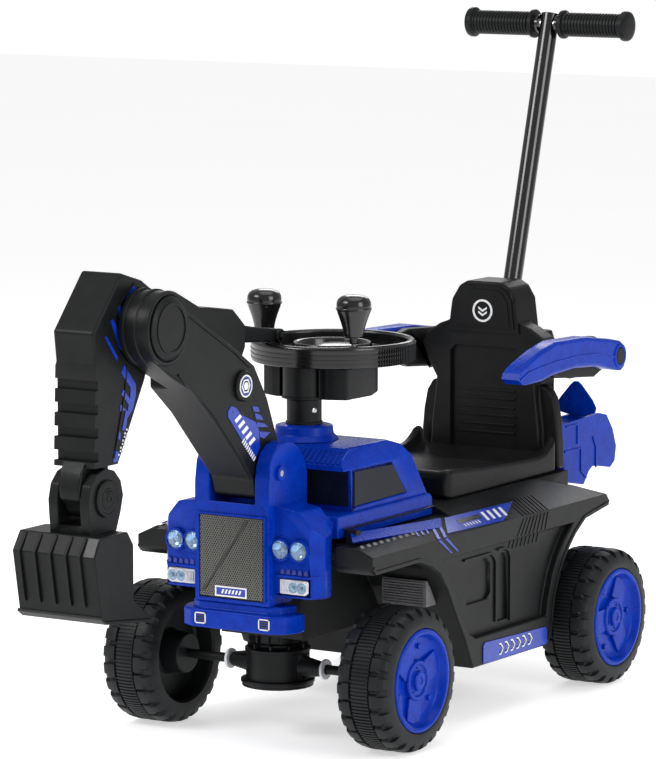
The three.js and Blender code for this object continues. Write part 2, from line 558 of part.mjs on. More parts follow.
// Arm: boom, control link, dipper and bucket with their pins.
const elbowRelief = block(-60, BOOM.splitX, -400, -236, 400, 640);
const boomBody = carve(
  join(
    sidePlate(BOOM_SIDE, -BOOM.half, BOOM.half),
    sidePlate(HUMP_SIDE, -BOOM.half - 2, -8),
    rod("x", 0, BOOM.half + 3, [0, ...BOOM.elbow], 44, 28),
    rod("x", BOOM.half - 2, BOOM.half + 4, [0, -127, 456], 17, 20),
  ),
  elbowRelief,
  rod("x", -60, 60, [0, ...BOOM.pivot], BOOM.pinRadius + PIN_PLAY),
  rod("x", -20, 60, [0, ...BOOM.elbow], DIPPER.elbowPinRadius + PIN_PLAY),
  rod("x", -60, -14, [0, ...LINK.front], LINK.pinRadius + PIN_PLAY, 16),
);
addNode("boom", boomBody, COLOURS.black, 0.4);
addNode("boom_pin", join(
  rod("x", -56, 56, [0, ...BOOM.pivot], BOOM.pinRadius),
  rod("x", 54 + GAP, 57.5, [0, ...BOOM.pivot], 8),
  rod("x", -57.5, -54 - GAP, [0, ...BOOM.pivot], 8),
), COLOURS.steel, 0.35, 1);
addNode("elbow_cap", turned(
  [[0, 34.4], [38, 34.4], [38, 38], [32, 41], [0, 41]], "x", [0, ...BOOM.elbow], 28,
), COLOURS.black, 0.4);
const notches = DIPPER_RIBS_Z.map((z) => block(DIPPER.x0 - 1, DIPPER.x1 + 1, -420, -376, z - 7, z + 5));
const dipperBody = carve(
  join(
    sidePlate(DIPPER_SIDE, DIPPER.x0, DIPPER.x1),
    sidePlate(TONGUE_SIDE, ...DIPPER.tongue),
  ),
  ...notches,
  rod("x", -90, 0, [0, ...BOOM.elbow], DIPPER.elbowPinRadius + PIN_PLAY),
  rod("x", -90, 0, [0, ...DIPPER.wrist], DIPPER.pinRadius + PIN_PLAY),
);
addNode("dipper", dipperBody, COLOURS.black, 0.4);
addNode("elbow_pin", join(
  rod("x", DIPPER.x0 - 4, BOOM.capX - 1.4, [0, ...BOOM.elbow], DIPPER.elbowPinRadius, 20),
  rod("x", DIPPER.x0 - 5, DIPPER.x0 - GAP, [0, ...BOOM.elbow], 20, 20),
), COLOURS.steel, 0.35, 1);
const bucketShell = carve(
  sidePlate(BUCKET_SIDE, BUCKET.x0, BUCKET.x1),
  sidePlate(BUCKET_HOLLOW, BUCKET.x0 + BUCKET.wall, BUCKET.x1 - BUCKET.wall),
);
const web = carve(
  block(DIPPER.tongue[0] - 3, DIPPER.tongue[1] + 3, -392, -334, 302, 316),
  rod("x", -90, 0, [0, ...DIPPER.wrist], 27.4, 32),
);
const bucketBody = carve(
  join(
    bucketShell,
    web,
    sidePlate(LUG_SIDE, DIPPER.x0, DIPPER.tongue[0] - 1),
    sidePlate(LUG_SIDE, DIPPER.tongue[1] + 1, DIPPER.x1),
  ),
  rod("x", -90, 0, [0, ...DIPPER.wrist], DIPPER.pinRadius + PIN_PLAY),
);
addNode("bucket", bucketBody, COLOURS.black, 0.4);
addNode("bucket_pin", join(
  rod("x", DIPPER.x0 - 4, DIPPER.x1 + 4, [0, ...DIPPER.wrist], DIPPER.pinRadius),
  rod("x", DIPPER.x1 + GAP, DIPPER.x1 + 4, [0, ...DIPPER.wrist], 13, 20),
  rod("x", DIPPER.x0 - 4, DIPPER.x0 - GAP, [0, ...DIPPER.wrist], 13, 20),
), COLOURS.black, 0.4);
addNode("control_link", carve(
  sidePlate(LINK_SIDE, LINK.x0, LINK.x1),
  rod("x", -60, -20, [0, ...LINK.front], LINK.pinRadius + PIN_PLAY, 16),
  rod("x", -60, -20, [0, ...LINK.rear], 3 + PIN_PLAY, 12),
), COLOURS.black, 0.4);
addNode("link_pin", join(
  rod("x", -51, -15, [0, ...LINK.front], LINK.pinRadius, 16),
  rod("x", -51, LINK.x0 - GAP, [0, ...LINK.front], 7, 16),
), COLOURS.steel, 0.35, 1);

// Front axle assembly.
addNode("axle_carrier", buildCarrier(), COLOURS.black);
addNode("kingpin_crank", carve(
  join(turned(CRANK_HUB, "z", [0, STEER.kingpinY, 0], 20), crankArm(STEER.kingpinY)),
  rod("z", 130, 170, [-STEER.crankLength, STEER.kingpinY, 0], STEER.jointRadius + PIN_PLAY, 12),
  block(-20, 20, -30, 30, 130, 143.4),
), COLOURS.black);
addNode("tie_rod", join(
  block(-STEER.crankLength - 5, -STEER.crankLength + 5, STEER.kingpinY - 5, STEER.y + 5, ...STEER.tieZ),
  rod("z", 144, 154, [-STEER.crankLength, STEER.kingpinY, 0], STEER.jointRadius, 12),
  rod("z", 144, 154, [-STEER.crankLength, STEER.y, 0], STEER.jointRadius, 12),
), COLOURS.steel, 0.35, 1);
for (const [end, y] of [["front", 0], ["rear", WHEEL.wheelbase]]) {
  const axle = rod("x", -AXLE.halfLength, AXLE.halfLength, [0, y, WHEEL.axleZ], AXLE.radius);
  addNode(`${end}_axle`, axle, COLOURS.steel, 0.35, 1);
}
const washerEnd = CARRIER.washerX + CARRIER.washerThickness;
for (const [sideName, s] of SIDES) {
  const washer = carve(
    rod("x", CARRIER.washerX, washerEnd, [0, 0, WHEEL.axleZ], CARRIER.washerRadius),
    rod("x", 60, 80, [0, 0, WHEEL.axleZ], AXLE.radius + PIN_PLAY),
  );
  addNode(`axle_washer_${sideName}`, s > 0 ? washer : mirrored(washer), COLOURS.white, 0.5);
  for (const [end, y] of [["front", 0], ["rear", WHEEL.wheelbase]]) {
    const [tyre, cap] = buildWheel(s, y);
    addNode(`tyre_${end}_${sideName}`, tyre, COLOURS.tyre, 0.7);
    addNode(`wheel_cap_${end}_${sideName}`, cap, COLOURS.blue, 0.35);
  }
}

export default group;
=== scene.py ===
import json
import math

import bmesh
import bpy
from mathutils import Matrix, Vector


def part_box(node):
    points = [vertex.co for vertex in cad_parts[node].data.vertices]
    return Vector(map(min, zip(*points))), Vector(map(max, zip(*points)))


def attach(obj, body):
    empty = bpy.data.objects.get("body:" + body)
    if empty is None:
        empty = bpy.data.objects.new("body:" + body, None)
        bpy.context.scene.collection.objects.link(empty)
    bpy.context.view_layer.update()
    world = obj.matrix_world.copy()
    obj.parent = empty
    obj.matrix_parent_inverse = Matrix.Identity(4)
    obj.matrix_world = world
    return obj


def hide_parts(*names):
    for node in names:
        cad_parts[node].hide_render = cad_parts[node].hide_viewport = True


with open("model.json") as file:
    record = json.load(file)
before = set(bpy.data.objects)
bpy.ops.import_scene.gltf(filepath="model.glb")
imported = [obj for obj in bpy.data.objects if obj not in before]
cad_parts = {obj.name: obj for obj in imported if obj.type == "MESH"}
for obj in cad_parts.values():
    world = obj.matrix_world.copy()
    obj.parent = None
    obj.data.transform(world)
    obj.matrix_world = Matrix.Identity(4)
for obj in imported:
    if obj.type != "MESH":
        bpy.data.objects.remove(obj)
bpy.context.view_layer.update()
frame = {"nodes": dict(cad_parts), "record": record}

MM = 0.001
wheel_low, wheel_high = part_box("tyre_front_left")
AXLE_Y = (wheel_low.y + wheel_high.y) / 2
NODE_BODY = {}
for body, entry in frame["record"]["behaviour"]["bodies"].items():
    for node in entry if isinstance(entry, list) else entry["nodes"]:
        NODE_BODY[node] = body


def place(x, y, z):
    return Vector((x * MM, y * MM + AXLE_Y, z * MM))


def extent(node):
    """Lowest and highest corner of a CAD node's box, in table millimetres."""
    return [(c.x / MM, (c.y - AXLE_Y) / MM, c.z / MM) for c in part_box(node)]


def middle(node):
    """Centre of a CAD node's box, in table millimetres."""
    return [(a + b) / 2 for a, b in zip(*extent(node))]


# ---- materials
def new_material(name):
    material = bpy.data.materials.new(name)
    material.use_nodes = True
    tree = material.node_tree
    shader = next(n for n in tree.nodes if n.type == "BSDF_PRINCIPLED")
    return material, tree, shader


def link(tree, source, output, target, socket):
    tree.links.new(source.outputs[output], target.inputs[socket])


def fill(node, values):
    for socket, value in values.items():
        node.inputs[socket].default_value = value


def noise(tree, coord, scale, detail=4.0, rough=0.55):
    node = tree.nodes.new("ShaderNodeTexNoise")
    fill(node, {"Scale": scale, "Detail": detail, "Roughness": rough})
    link(tree, coord, "Object", node, "Vector")
    return node


def ramp(tree, source, stops):
    node = tree.nodes.new("ShaderNodeValToRGB")
    ramp_points = node.color_ramp.elements
    while len(ramp_points) < len(stops):
        ramp_points.new(0.5)
    for point, (position, colour) in zip(ramp_points, stops):
        point.position = position
        point.color = (*colour, 1.0)
    link(tree, source, "Fac", node, "Fac")
    return node


def value_range(tree, source, low, high):
    node = tree.nodes.new("ShaderNodeMapRange")
    fill(node, {"To Min": low, "To Max": high})
    link(tree, source, "Fac", node, "Value")
    return node


def grain_bump(tree, coord, shader, layers):
    """Chained bumps: each layer is (noise scale per metre, height in metres, detail)."""
    previous = None
    for scale, height, detail in layers:
        texture = noise(tree, coord, scale, detail)
        bump = tree.nodes.new("ShaderNodeBump")
        fill(bump, {"Strength": 1.0, "Distance": height})
        link(tree, texture, "Fac", bump, "Height")
        if previous:
            link(tree, previous, "Normal", bump, "Normal")
        previous = bump
    link(tree, previous, "Normal", shader, "Normal")


def moulded_plastic(name, dark, light, rough, grain, mottle_and_reflection_scale=90.0, coat=0.0, specular=0.5):
    """Moulded resin: slow colour drift, fine moulded grain and a roughness that varies with it."""
    material, tree, shader = new_material(name)
    coord = tree.nodes.new("ShaderNodeTexCoord")
    drift = noise(tree, coord, mottle_and_reflection_scale, 5.0, 0.6)
    colour = ramp(tree, drift, [(0.35, dark), (0.68, light)])
    link(tree, colour, "Color", shader, "Base Color")
    haze = noise(tree, coord, 260.0, 3.0)
    link(tree, value_range(tree, haze, rough[0], rough[1]), "Result", shader, "Roughness")
    grain_bump(tree, coord, shader, grain)
    fill(shader, {"Coat Weight": coat, "Coat Roughness": 0.12, "IOR": 1.49, "Specular IOR Level": specular})
    return material


def metal(name, colour, rough):
    material, tree, shader = new_material(name)
    coord = tree.nodes.new("ShaderNodeTexCoord")
    streak = noise(tree, coord, 900.0, 2.0)
    shade = ramp(tree, streak, [(0.3, [c * 0.82 for c in colour]), (0.7, colour)])
    link(tree, shade, "Color", shader, "Base Color")
    link(tree, value_range(tree, streak, rough * 0.8, rough * 1.25), "Result", shader, "Roughness")
    grain_bump(tree, coord, shader, [(1400.0, 0.00002, 1.0)])
    fill(shader, {"Metallic": 1.0})
    return material


def clear_lens(name, tint):
    material, tree, shader = new_material(name)
    coord = tree.nodes.new("ShaderNodeTexCoord")
    swirl = noise(tree, coord, 150.0, 2.0)
    shade = ramp(tree, swirl, [(0.3, tint), (0.7, [min(1.0, c * 1.08) for c in tint])])
    link(tree, shade, "Color", shader, "Base Color")
    grain_bump(tree, coord, shader, [(420.0, 0.00004, 1.0)])
    fill(shader, {"Roughness": 0.06, "Transmission Weight": 0.86, "IOR": 1.32})
    return material


MATERIALS = {
    "blue": moulded_plastic(
        "blue_plastic", (0.0003, 0.024, 0.32), (0.0006, 0.038, 0.42), (0.22, 0.34),
        [(240.0, 0.00003, 3.0)], mottle_and_reflection_scale=70.0, specular=0.13,
    ),
    "black": moulded_plastic(
        "black_plastic", (0.0052, 0.0057, 0.0062), (0.0082, 0.0089, 0.0096), (0.34, 0.48),
        [(1500.0, 0.00004, 2.0)], mottle_and_reflection_scale=40.0, specular=0.20,
    ),
    "seat": moulded_plastic(
        "seat_plastic", (0.0046, 0.0048, 0.0050), (0.0072, 0.0074, 0.0078), (0.36, 0.50),
        [(1100.0, 0.00005, 3.0)], mottle_and_reflection_scale=40.0, specular=0.17,
    ),
    "tyre": moulded_plastic(
        "tyre_plastic", (0.0078, 0.0088, 0.0096), (0.0125, 0.0140, 0.0152), (0.40, 0.54),
        [(900.0, 0.00006, 3.0)], mottle_and_reflection_scale=40.0, specular=0.24,
    ),
    "gloss": moulded_plastic(
        "gloss_black", (0.0045, 0.0046, 0.0050), (0.0075, 0.0077, 0.0082), (0.16, 0.26),
        [(700.0, 0.00002, 2.0)], coat=0.25, specular=0.45,
    ),
    # dark pane: the dark tint is the pane's own colour; its slow drift to lighter patches is painted
    # reflection, standing for the surroundings mirrored in the glass
    "pane": moulded_plastic(
        "dark_pane", (0.0035, 0.0045, 0.010), (0.010, 0.013, 0.026), (0.16, 0.28),
        [(60.0, 0.00005, 2.0)], mottle_and_reflection_scale=14.0, specular=0.12,
    ),
    "grey": moulded_plastic(
        "grey_plastic", (0.13, 0.13, 0.135), (0.19, 0.19, 0.195), (0.42, 0.55),
        [(1200.0, 0.00005, 2.0)],
    ),
    # painted highlight: a grey lighter than the black plastic, standing for the sheen where light falls on
    # the bucket's chamfer
    "painted_highlight_grey": moulded_plastic(
        "painted_highlight_plastic", (0.020, 0.020, 0.022), (0.032, 0.032, 0.034), (0.30, 0.42),
        [(1200.0, 0.00003, 2.0)],
    ),
    "white": moulded_plastic(
        "white_plastic", (0.62, 0.63, 0.66), (0.78, 0.79, 0.82), (0.24, 0.34),
        [(900.0, 0.00003, 2.0)],
    ),
    "decal_white": moulded_plastic(
        "decal_white", (0.78, 0.78, 0.79), (0.88, 0.88, 0.88), (0.26, 0.36),
        [(700.0, 0.00001, 1.0)],
    ),
    "decal_blue": moulded_plastic(
        "decal_blue", (0.0012, 0.026, 0.34), (0.0020, 0.040, 0.44), (0.24, 0.34),
        [(700.0, 0.00001, 1.0)], coat=0.2,
    ),
    "decal_deep": moulded_plastic(
        "decal_deep", (0.002, 0.010, 0.20), (0.004, 0.018, 0.30), (0.24, 0.34),
        [(700.0, 0.00001, 1.0)], coat=0.2,
    ),
    "steel": metal("zinc_steel", (0.62, 0.63, 0.65), 0.28),
    "chrome": metal("bright_reflector", (0.80, 0.86, 0.94), 0.14),
    "mesh_metal": metal("grille_metal", (0.30, 0.30, 0.28), 0.42),
    "tube": moulded_plastic(
        "tube_paint", (0.0045, 0.0045, 0.005), (0.007, 0.007, 0.0075), (0.14, 0.20),
        [(500.0, 0.00002, 2.0)], coat=0.4, specular=0.5,
    ),
    "lens": clear_lens("clear_lens", (0.62, 0.80, 1.0)),
}


# ---- mesh helpers
def bevel(bm, width, segments=2):
    """Rounds the sharp edges that have room for the radius at both of their ends."""
    bmesh.ops.remove_doubles(bm, verts=bm.verts, dist=0.00002)
    bmesh.ops.dissolve_limit(
        bm, angle_limit=math.radians(0.8), verts=bm.verts, edges=bm.edges, delimit=set()
    )
    bmesh.ops.dissolve_degenerate(bm, dist=0.00005, edges=bm.edges)
    limit = math.radians(26.0)
    edges = [e for e in bm.edges if len(e.link_faces) == 2 and e.calc_face_angle(0.0) > limit]
    room = {v: min(e.calc_length() for e in v.link_edges) for edge in edges for v in edge.verts}
    chosen = [e for e in edges if min(room[v] for v in e.verts) > 2.1 * width * MM]
    if chosen:
        bmesh.ops.bevel(
            bm, geom=chosen, offset=width * MM, offset_type="OFFSET", segments=segments,
            profile=0.6, affect="EDGES", clamp_overlap=False, loop_slide=True,
        )
    return bm


def outward(bm):
    """The closed mesh with every face turned outwards."""
    bmesh.ops.recalc_face_normals(bm, faces=bm.faces)
    return bm


def rect(u0, v0, u1, v1):
    return [(u0, v0), (u1, v0), (u1, v1), (u0, v1)]


def prism(outline, plane, low, high):
    """Outline carried between two stations. plane x: (y, z) outline; plane y: (x, z); plane z: (x, y)."""
    to_world = {
        "x": lambda a, b, c: place(c, a, b),
        "y": lambda a, b, c: place(a, c, b),
        "z": lambda a, b, c: place(a, b, c),
    }[plane]
    bm = bmesh.new()
    ends = [[bm.verts.new(to_world(a, b, c)) for a, b in outline] for c in (low, high)]
    count = len(outline)
    bm.faces.new(ends[0])
    bm.faces.new(ends[1][::-1])
    for i in range(count):
        j = (i + 1) % count
        bm.faces.new((ends[0][i], ends[1][i], ends[1][j], ends[0][j]))
    return outward(bm)


def turn(profile, axis, centre, segments=48):
    """Lathe of (radius, station) points round a line through centre."""
    x, y, z = centre
    to_world = {
        "x": lambda r, h, a: place(x + h, y + r * math.cos(a), z + r * math.sin(a)),
        "y": lambda r, h, a: place(x + r * math.cos(a), y + h, z + r * math.sin(a)),
        "z": lambda r, h, a: place(x + r * math.cos(a), y + r * math.sin(a), z + h),
    }[axis]
    bm = bmesh.new()
    rings = []
    for r, h in profile:
        if r < 0.001:
            rings.append([bm.verts.new(to_world(0, h, 0))])
        else:
            rings.append([bm.verts.new(to_world(r, h, math.tau * k / segments)) for k in range(segments)])
    for a, b in zip(rings, rings[1:]):
        for k in range(segments):
            n = (k + 1) % segments
            corners = [a[k % len(a)], a[n % len(a)], b[n % len(b)], b[k % len(b)]]
            unique = list(dict.fromkeys(corners))
            if len(unique) > 2:
                bm.faces.new(unique)
    return outward(bm)


def hoop(inner, outer, low, high, axis, centre, segments):
    """Ring of rectangular section round a line through centre."""
    section = rect(inner, low, outer, high)
    return turn(section + section[:1], axis, centre, segments)


def join_rings(bm, rings):
    """Quads between neighbouring rings of the same count."""
    for a, b in zip(rings, rings[1:]):
        for k in range(len(a)):
            n = (k + 1) % len(a)
            bm.faces.new((a[k], a[n], b[n], b[k]))


def merged(*parts):
    """One mesh from several closed ones."""
    out = bmesh.new()
    for part in parts:
        mesh = bpy.data.meshes.new("part")
        part.to_mesh(mesh)
        part.free()
        out.from_mesh(mesh)
        bpy.data.meshes.remove(mesh)
    return out


def mirrored(bm):
    """The same mesh on the other side of the vehicle."""
    copy = bm.copy()
    bmesh.ops.scale(copy, vec=(-1, 1, 1), verts=copy.verts)
    bmesh.ops.reverse_faces(copy, faces=copy.faces)
    return copy


def on_side(bm, side_name):
    """A mesh made for the left side, mirrored where it belongs to the right one."""
    return mirrored(bm) if side_name == "right" else bm


def piece(name, bm, body, finish, stands_for=(), smooth=38.0):
    mesh = bpy.data.meshes.new(name)
    bm.to_mesh(mesh)
    bm.free()
    for polygon in mesh.polygons:
        polygon.use_smooth = True
    mesh.set_sharp_from_angle(angle=math.radians(smooth))
    mesh.materials.append(MATERIALS[finish])
    obj = bpy.data.objects.new(name, mesh)
    bpy.context.scene.collection.objects.link(obj)
    weighted = obj.modifiers.new("weighted", "WEIGHTED_NORMAL")
    weighted.keep_sharp = True
    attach(obj, body)
    if stands_for:
        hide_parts(*stands_for)


def cad_mesh(node):
    bm = bmesh.new()
    bm.from_mesh(frame["nodes"][node].data)
    return bm


def skin(node, finish, width, segments):
    """A rounded copy of a CAD node."""
    piece(f"{node}_skin", bevel(cad_mesh(node), width, segments), NODE_BODY[node], finish, [node])


def plate(outline, plane, low, high, width=0.4, segments=1):
    return bevel(prism(outline, plane, low, high), width, segments)


def both_sides(*parts):
    """The parts as one mesh, once on each side of the vehicle."""
    half = merged(*parts)
    return merged(half.copy(), mirrored(half))


# ---- rounded copies of the moulded nodes
SKINS = {
    "body_shell": ("black", 2.4, 3), "cowl": ("blue", 2.2, 3), "bumper": ("blue", 3.0, 3),
    "back_frame": ("seat", 6.0, 4), "backrest": ("seat", 4.0, 4),
    "boom": ("black", 3.4, 3), "dipper": ("black", 4.0, 3), "bucket": ("black", 1.6, 2),
    "elbow_cap": ("black", 1.0, 2), "control_link": ("black", 2.4, 3), "link_pin": ("steel", 0.8, 2),
    "boom_pin": ("steel", 0.8, 2), "elbow_pin": ("black", 1.5, 2), "bucket_pin": ("black", 1.2, 2),
    "armrest_left": ("blue", 6.0, 4), "armrest_right": ("blue", 6.0, 4),
    "armrest_bracket_left": ("seat", 3.0, 3), "armrest_bracket_right": ("seat", 3.0, 3),
    "armrest_pin_left": ("black", 1.0, 2), "armrest_pin_right": ("black", 1.0, 2),
    "tool_pocket": ("blue", 2.2, 3), "toy_spade": ("blue", 0.9, 2), "column_collar": ("blue", 1.4, 2),
    "steering_column": ("black", 1.2, 2), "console_box": ("black", 3.0, 3), "console_tray": ("gloss", 1.6, 3),
    "axle_carrier": ("black", 1.4, 2), "kingpin_crank": ("black", 1.0, 2), "tie_rod": ("steel", 0.8, 2),
    "axle_washer_left": ("white", 0.8, 2), "axle_washer_right": ("white", 0.8, 2),
    "grille": ("black", 0.8, 2), "push_tube": ("tube", 0.8, 2),
}
for node, (finish, width, segments) in SKINS.items():
    skin(node, finish, width, segments)

CARRIED_OVER = {
    "push_crossbar": "steel", "front_axle": "black", "rear_axle": "steel", "steering_shaft": "steel",
    "lever_rod_left": "steel", "lever_rod_right": "steel",
}
for node, finish in CARRIED_OVER.items():
    obj = frame["nodes"][node]
    obj.data.materials.clear()
    obj.data.materials.append(MATERIALS[finish])

# ---- wheels
LUGS = 24
LUG_SPAN = (0.16, 0.72)
BLOCK_SPAN = (0.06, 0.90)
RIBS_PER_LUG = 5
RIB_SHARE = 0.62
TREAD_ENDS = {"ribs": 12.0, "groove": 14.0, "blocks": 26.5}
TYRE_RADIUS = 90.0


def tread_height(h, turn_share):
    """Height of the tread pattern over its base at station h and at a share of one lug pitch."""
    side = abs(h)
    if side < TREAD_ENDS["ribs"]:
        return 1.5 if (turn_share * RIBS_PER_LUG) % 1.0 < RIB_SHARE else 0.0
    if side < TREAD_ENDS["groove"]:
        return 0.0
    shifted = (turn_share + (0.0 if h > 0 else 0.5)) % 1.0
    if side < TREAD_ENDS["blocks"]:
        return 4.0 if BLOCK_SPAN[0] < shifted < BLOCK_SPAN[1] else 0.0
    return 4.4 if LUG_SPAN[0] < shifted < LUG_SPAN[1] else 0.0


TREAD_HALF = [
    (88.2, 6), (87.6, 11.8), (85.2, 12.4), (85.2, 13.8), (85.8, 14.4), (85.8, 17), (85.7, 20), (85.2, 24),
    (84.4, 27), (83.4, 30), (82, 32.4), (79.5, 35.2),
]
TYRE_OUTLINE = [
    (24, -39), (25.5, -37), (27, -12), (30, -9), (57, -9), (60, -12), (61.5, -33), (64, -36.5), (74, -37),
    *[(r, -h) for r, h in reversed(TREAD_HALF)], (88.4, 0), *TREAD_HALF,
    (75, 36.6), (71, 37.2), (67.5, 37.4), (65.2, 36.6), (64.8, 34), (64.8, 12),
]


def tyre_mesh(centre, side, phase):
    x, y, z = centre
    steps = []
    fine = RIBS_PER_LUG * 2
    for lug in range(LUGS):
        for k in range(fine):
            rib = (k // 2 + (0.0 if k % 2 == 0 else RIB_SHARE)) / RIBS_PER_LUG
            steps += [lug + rib - 0.008, lug + rib + 0.008]
        for edge in LUG_SPAN:
            steps += [lug + edge - 0.01, lug + edge + 0.01]
    steps = sorted(s % LUGS for s in steps)
    bm = bmesh.new()
    rings = []
    for r, h in TYRE_OUTLINE:
        ring = []
        for s in steps:
            radius = r
            if r > 78.0:
                lift = tread_height(h, s % 1.0)
                radius = min(TYRE_RADIUS, r + lift * (0.45 if r < 81.0 else 1.0))
            a = math.tau * (s / LUGS) + phase
            ring.append(bm.verts.new(place(x + side * h, y + radius * math.cos(a), z + radius * math.sin(a))))
        rings.append(ring)
    join_rings(bm, rings)
    count = len(steps)
    for ring in (rings[0], rings[-1]):
        hub = bm.verts.new(sum((v.co for v in ring), Vector()) / count)
        for k in range(count):
            bm.faces.new((ring[k], ring[(k + 1) % count], hub))
    return outward(bm)


CAP_OUTLINE = [
    (0, 12), (64.2, 12), (64.2, 36.8), (63, 38.2), (60, 38.6), (57.8, 37.6), (56.6, 35), (54.5, 30.5),
    (52, 28.2), (47, 26.6), (30, 25.4), (26.5, 25.6), (25.6, 27), (25.2, 31), (24, 32.4), (20.5, 32.6),
    (19.4, 31.6), (18.6, 30.4), (13, 30.4), (12.2, 31.4), (11.8, 34.2), (10.4, 35.2), (4.8, 35.4),
    (4.2, 34.4), (0, 34.2),
]


def cap_mesh(centre, side, phase):
    x, y, z = centre
    parts = [turn([(r, side * h) for r, h in CAP_OUTLINE], "x", centre, 72)]
    for k in range(3):
        a = phase + math.tau * k / 3
        corners = [(27.2, a - 0.6), (52.6, a - 0.3), (53.6, a), (52.6, a + 0.3), (27.2, a + 0.6)]
        outline = [(y + r * math.cos(t), z + r * math.sin(t)) for r, t in corners]
        low, high = sorted((x + side * 24.0, x + side * 30.2))
        parts.append(plate(outline, "x", low, high, 1.6, 3))
        b = a + math.pi / 3
        bolt = (x, y + 42 * math.cos(b), z + 42 * math.sin(b))
        head = [(0, 24), (3.6, 24), (3.6, 28.6), (2.8, 29.4), (0, 29.6)]
        parts.append(turn([(r, side * h) for r, h in head], "x", bolt, 20))
    for k in range(5):
        a = phase + math.tau * k / 5
        dot = (x, y + 15.8 * math.cos(a), z + 15.8 * math.sin(a))
        profile = [(0, 28), (1.5, 28), (1.5, 31.4), (0, 31.8)]
        parts.append(turn([(r, side * h) for r, h in profile], "x", dot, 12))
    return merged(*parts)


for end in ("front", "rear"):
    for side_name, side in (("left", 1), ("right", -1)):
        node = f"tyre_{end}_{side_name}"
        centre = middle(node)
        phase = 0.35 if end == "front" else 1.1
        body = NODE_BODY[node]
        piece(f"{node}_tread", tyre_mesh(centre, side, phase * 0.1), body, "tyre", [node], smooth=24.0)
        cap = f"wheel_cap_{end}_{side_name}"
        piece(f"{cap}_face", cap_mesh(centre, side, phase), body, "blue", [cap], smooth=32.0)

# ---- surface films and ribs
def film(points, facing, lift, sink=0.4):
    """Closed thin plate over a flat outline of (x, y, z) points, standing lift above it."""
    corners = [place(*p) for p in points]
    normal = Vector()
    for a, b in zip(corners, corners[1:] + corners[:1]):
        normal += a.cross(b)
    normal.normalize()
    if normal.dot(Vector(facing)) < 0:
        normal.negate()
    bm = bmesh.new()
    foot, top = [[bm.verts.new(c + normal * h * MM) for c in corners] for h in (-sink, lift)]
    bm.faces.new(foot)
    bm.faces.new(top)
    for i in range(len(corners)):
        j = (i + 1) % len(corners)
        bm.faces.new((foot[i], foot[j], top[j], top[i]))
    return outward(bm)


def ribbon(path, width):
    """Outline of a band of even width that follows a path of 2-D points, to the left of it."""
    shifted = []
    for i, (a, b) in enumerate(path):
        before = path[max(i - 1, 0)]
        after = path[min(i + 1, len(path) - 1)]
        du, dv = after[0] - before[0], after[1] - before[1]
        length = math.hypot(du, dv) or 1.0
        shifted.append((a - dv / length * width, b + du / length * width))
    return list(path) + shifted[::-1]


def raised_lines(lines, low, high, width=0.6):
    """Rounded bands on a plane of constant x, from (path, band width) pairs."""
    return merged(*[bevel(prism(ribbon(path, band), "x", low, high), width, 2) for path, band in lines])


def side_film(x, outline, lift=0.5):
    """Film on a plane of constant x, from (y, z) points."""
    return film([(x, y, z) for y, z in outline], (1, 0, 0), lift)


SLOPE = {"x": 112.0, "z": 275.0, "fall": 0.4647}


def slope_film(outline, lift):
    """Film on the sloping shoulder of the body, from (x, y) points."""
    points = [(x, y, SLOPE["z"] - (x - SLOPE["x"]) * SLOPE["fall"]) for x, y in outline]
    return film(points, (0.42, 0, 0.9), lift)


def chevrons(count, start, step, size, thickness, x, lift=0.5):
    """A row of chevron films on a plane of constant x, standing for printed graphics."""
    w, h = size
    strokes = []
    for k in range(count):
        u, v = start[0] + step[0] * k, start[1] + step[1] * k
        strokes.append(side_film(x, [
            (u, v), (u + w, v + h / 2), (u, v + h),
            (u + thickness, v + h), (u + thickness + w, v + h / 2), (u + thickness, v),
        ], lift))
    return strokes


# ---- seat
SEAT_STATIONS = [
    # y, half width, base z, lip z, floor z
    (228.6, 101, 281, 299, 299), (230.5, 106, 278, 304, 304), (234, 109, 276, 309, 308.6),
    (240, 110, 275.2, 311.6, 310), (246, 110, 275, 312, 307), (252, 110, 275, 311.4, 299),
    (259, 110, 275, 311, 292.5), (268, 110, 275, 310, 289.4), (290, 110, 275, 308.6, 288.4),
    (330, 110, 275, 306, 288.3), (430, 110, 275, 301.6, 288.2), (450, 110, 275, 301, 288.4),
    (464, 110, 275, 301, 288.8), (476, 110, 275, 302, 289.6), (488, 110, 275, 305, 291.6),
    (498, 110, 275, 310, 294), (506, 110, 275, 315, 297), (511, 110, 275, 319, 299),
    (513.4, 108, 277, 321, 300),
]
SEAT_GROOVES = {"from": 300.0, "to": 470.0, "pitch": 9.0, "width": 1.6, "depth": 1.0}


def seat_stations():
    """Stations of the seat, with the fine grooves across its floor added."""
    rows = list(SEAT_STATIONS)
    y = SEAT_GROOVES["from"]
    while y < SEAT_GROOVES["to"]:
        for offset, drop in ((0, 0), (0.35, 1), (0.65, 1), (1, 0)):
            station = y + offset * SEAT_GROOVES["width"]
            low = [row for row in SEAT_STATIONS if row[0] <= station][-1]
            high = next(row for row in SEAT_STATIONS if row[0] > station)
            share = (station - low[0]) / (high[0] - low[0])
            _, half, base, lip, floor = [a + (b - a) * share for a, b in zip(low, high)]
            rows.append((station, half, base, lip, floor - drop * SEAT_GROOVES["depth"]))
        y += SEAT_GROOVES["pitch"]
    return sorted(rows)


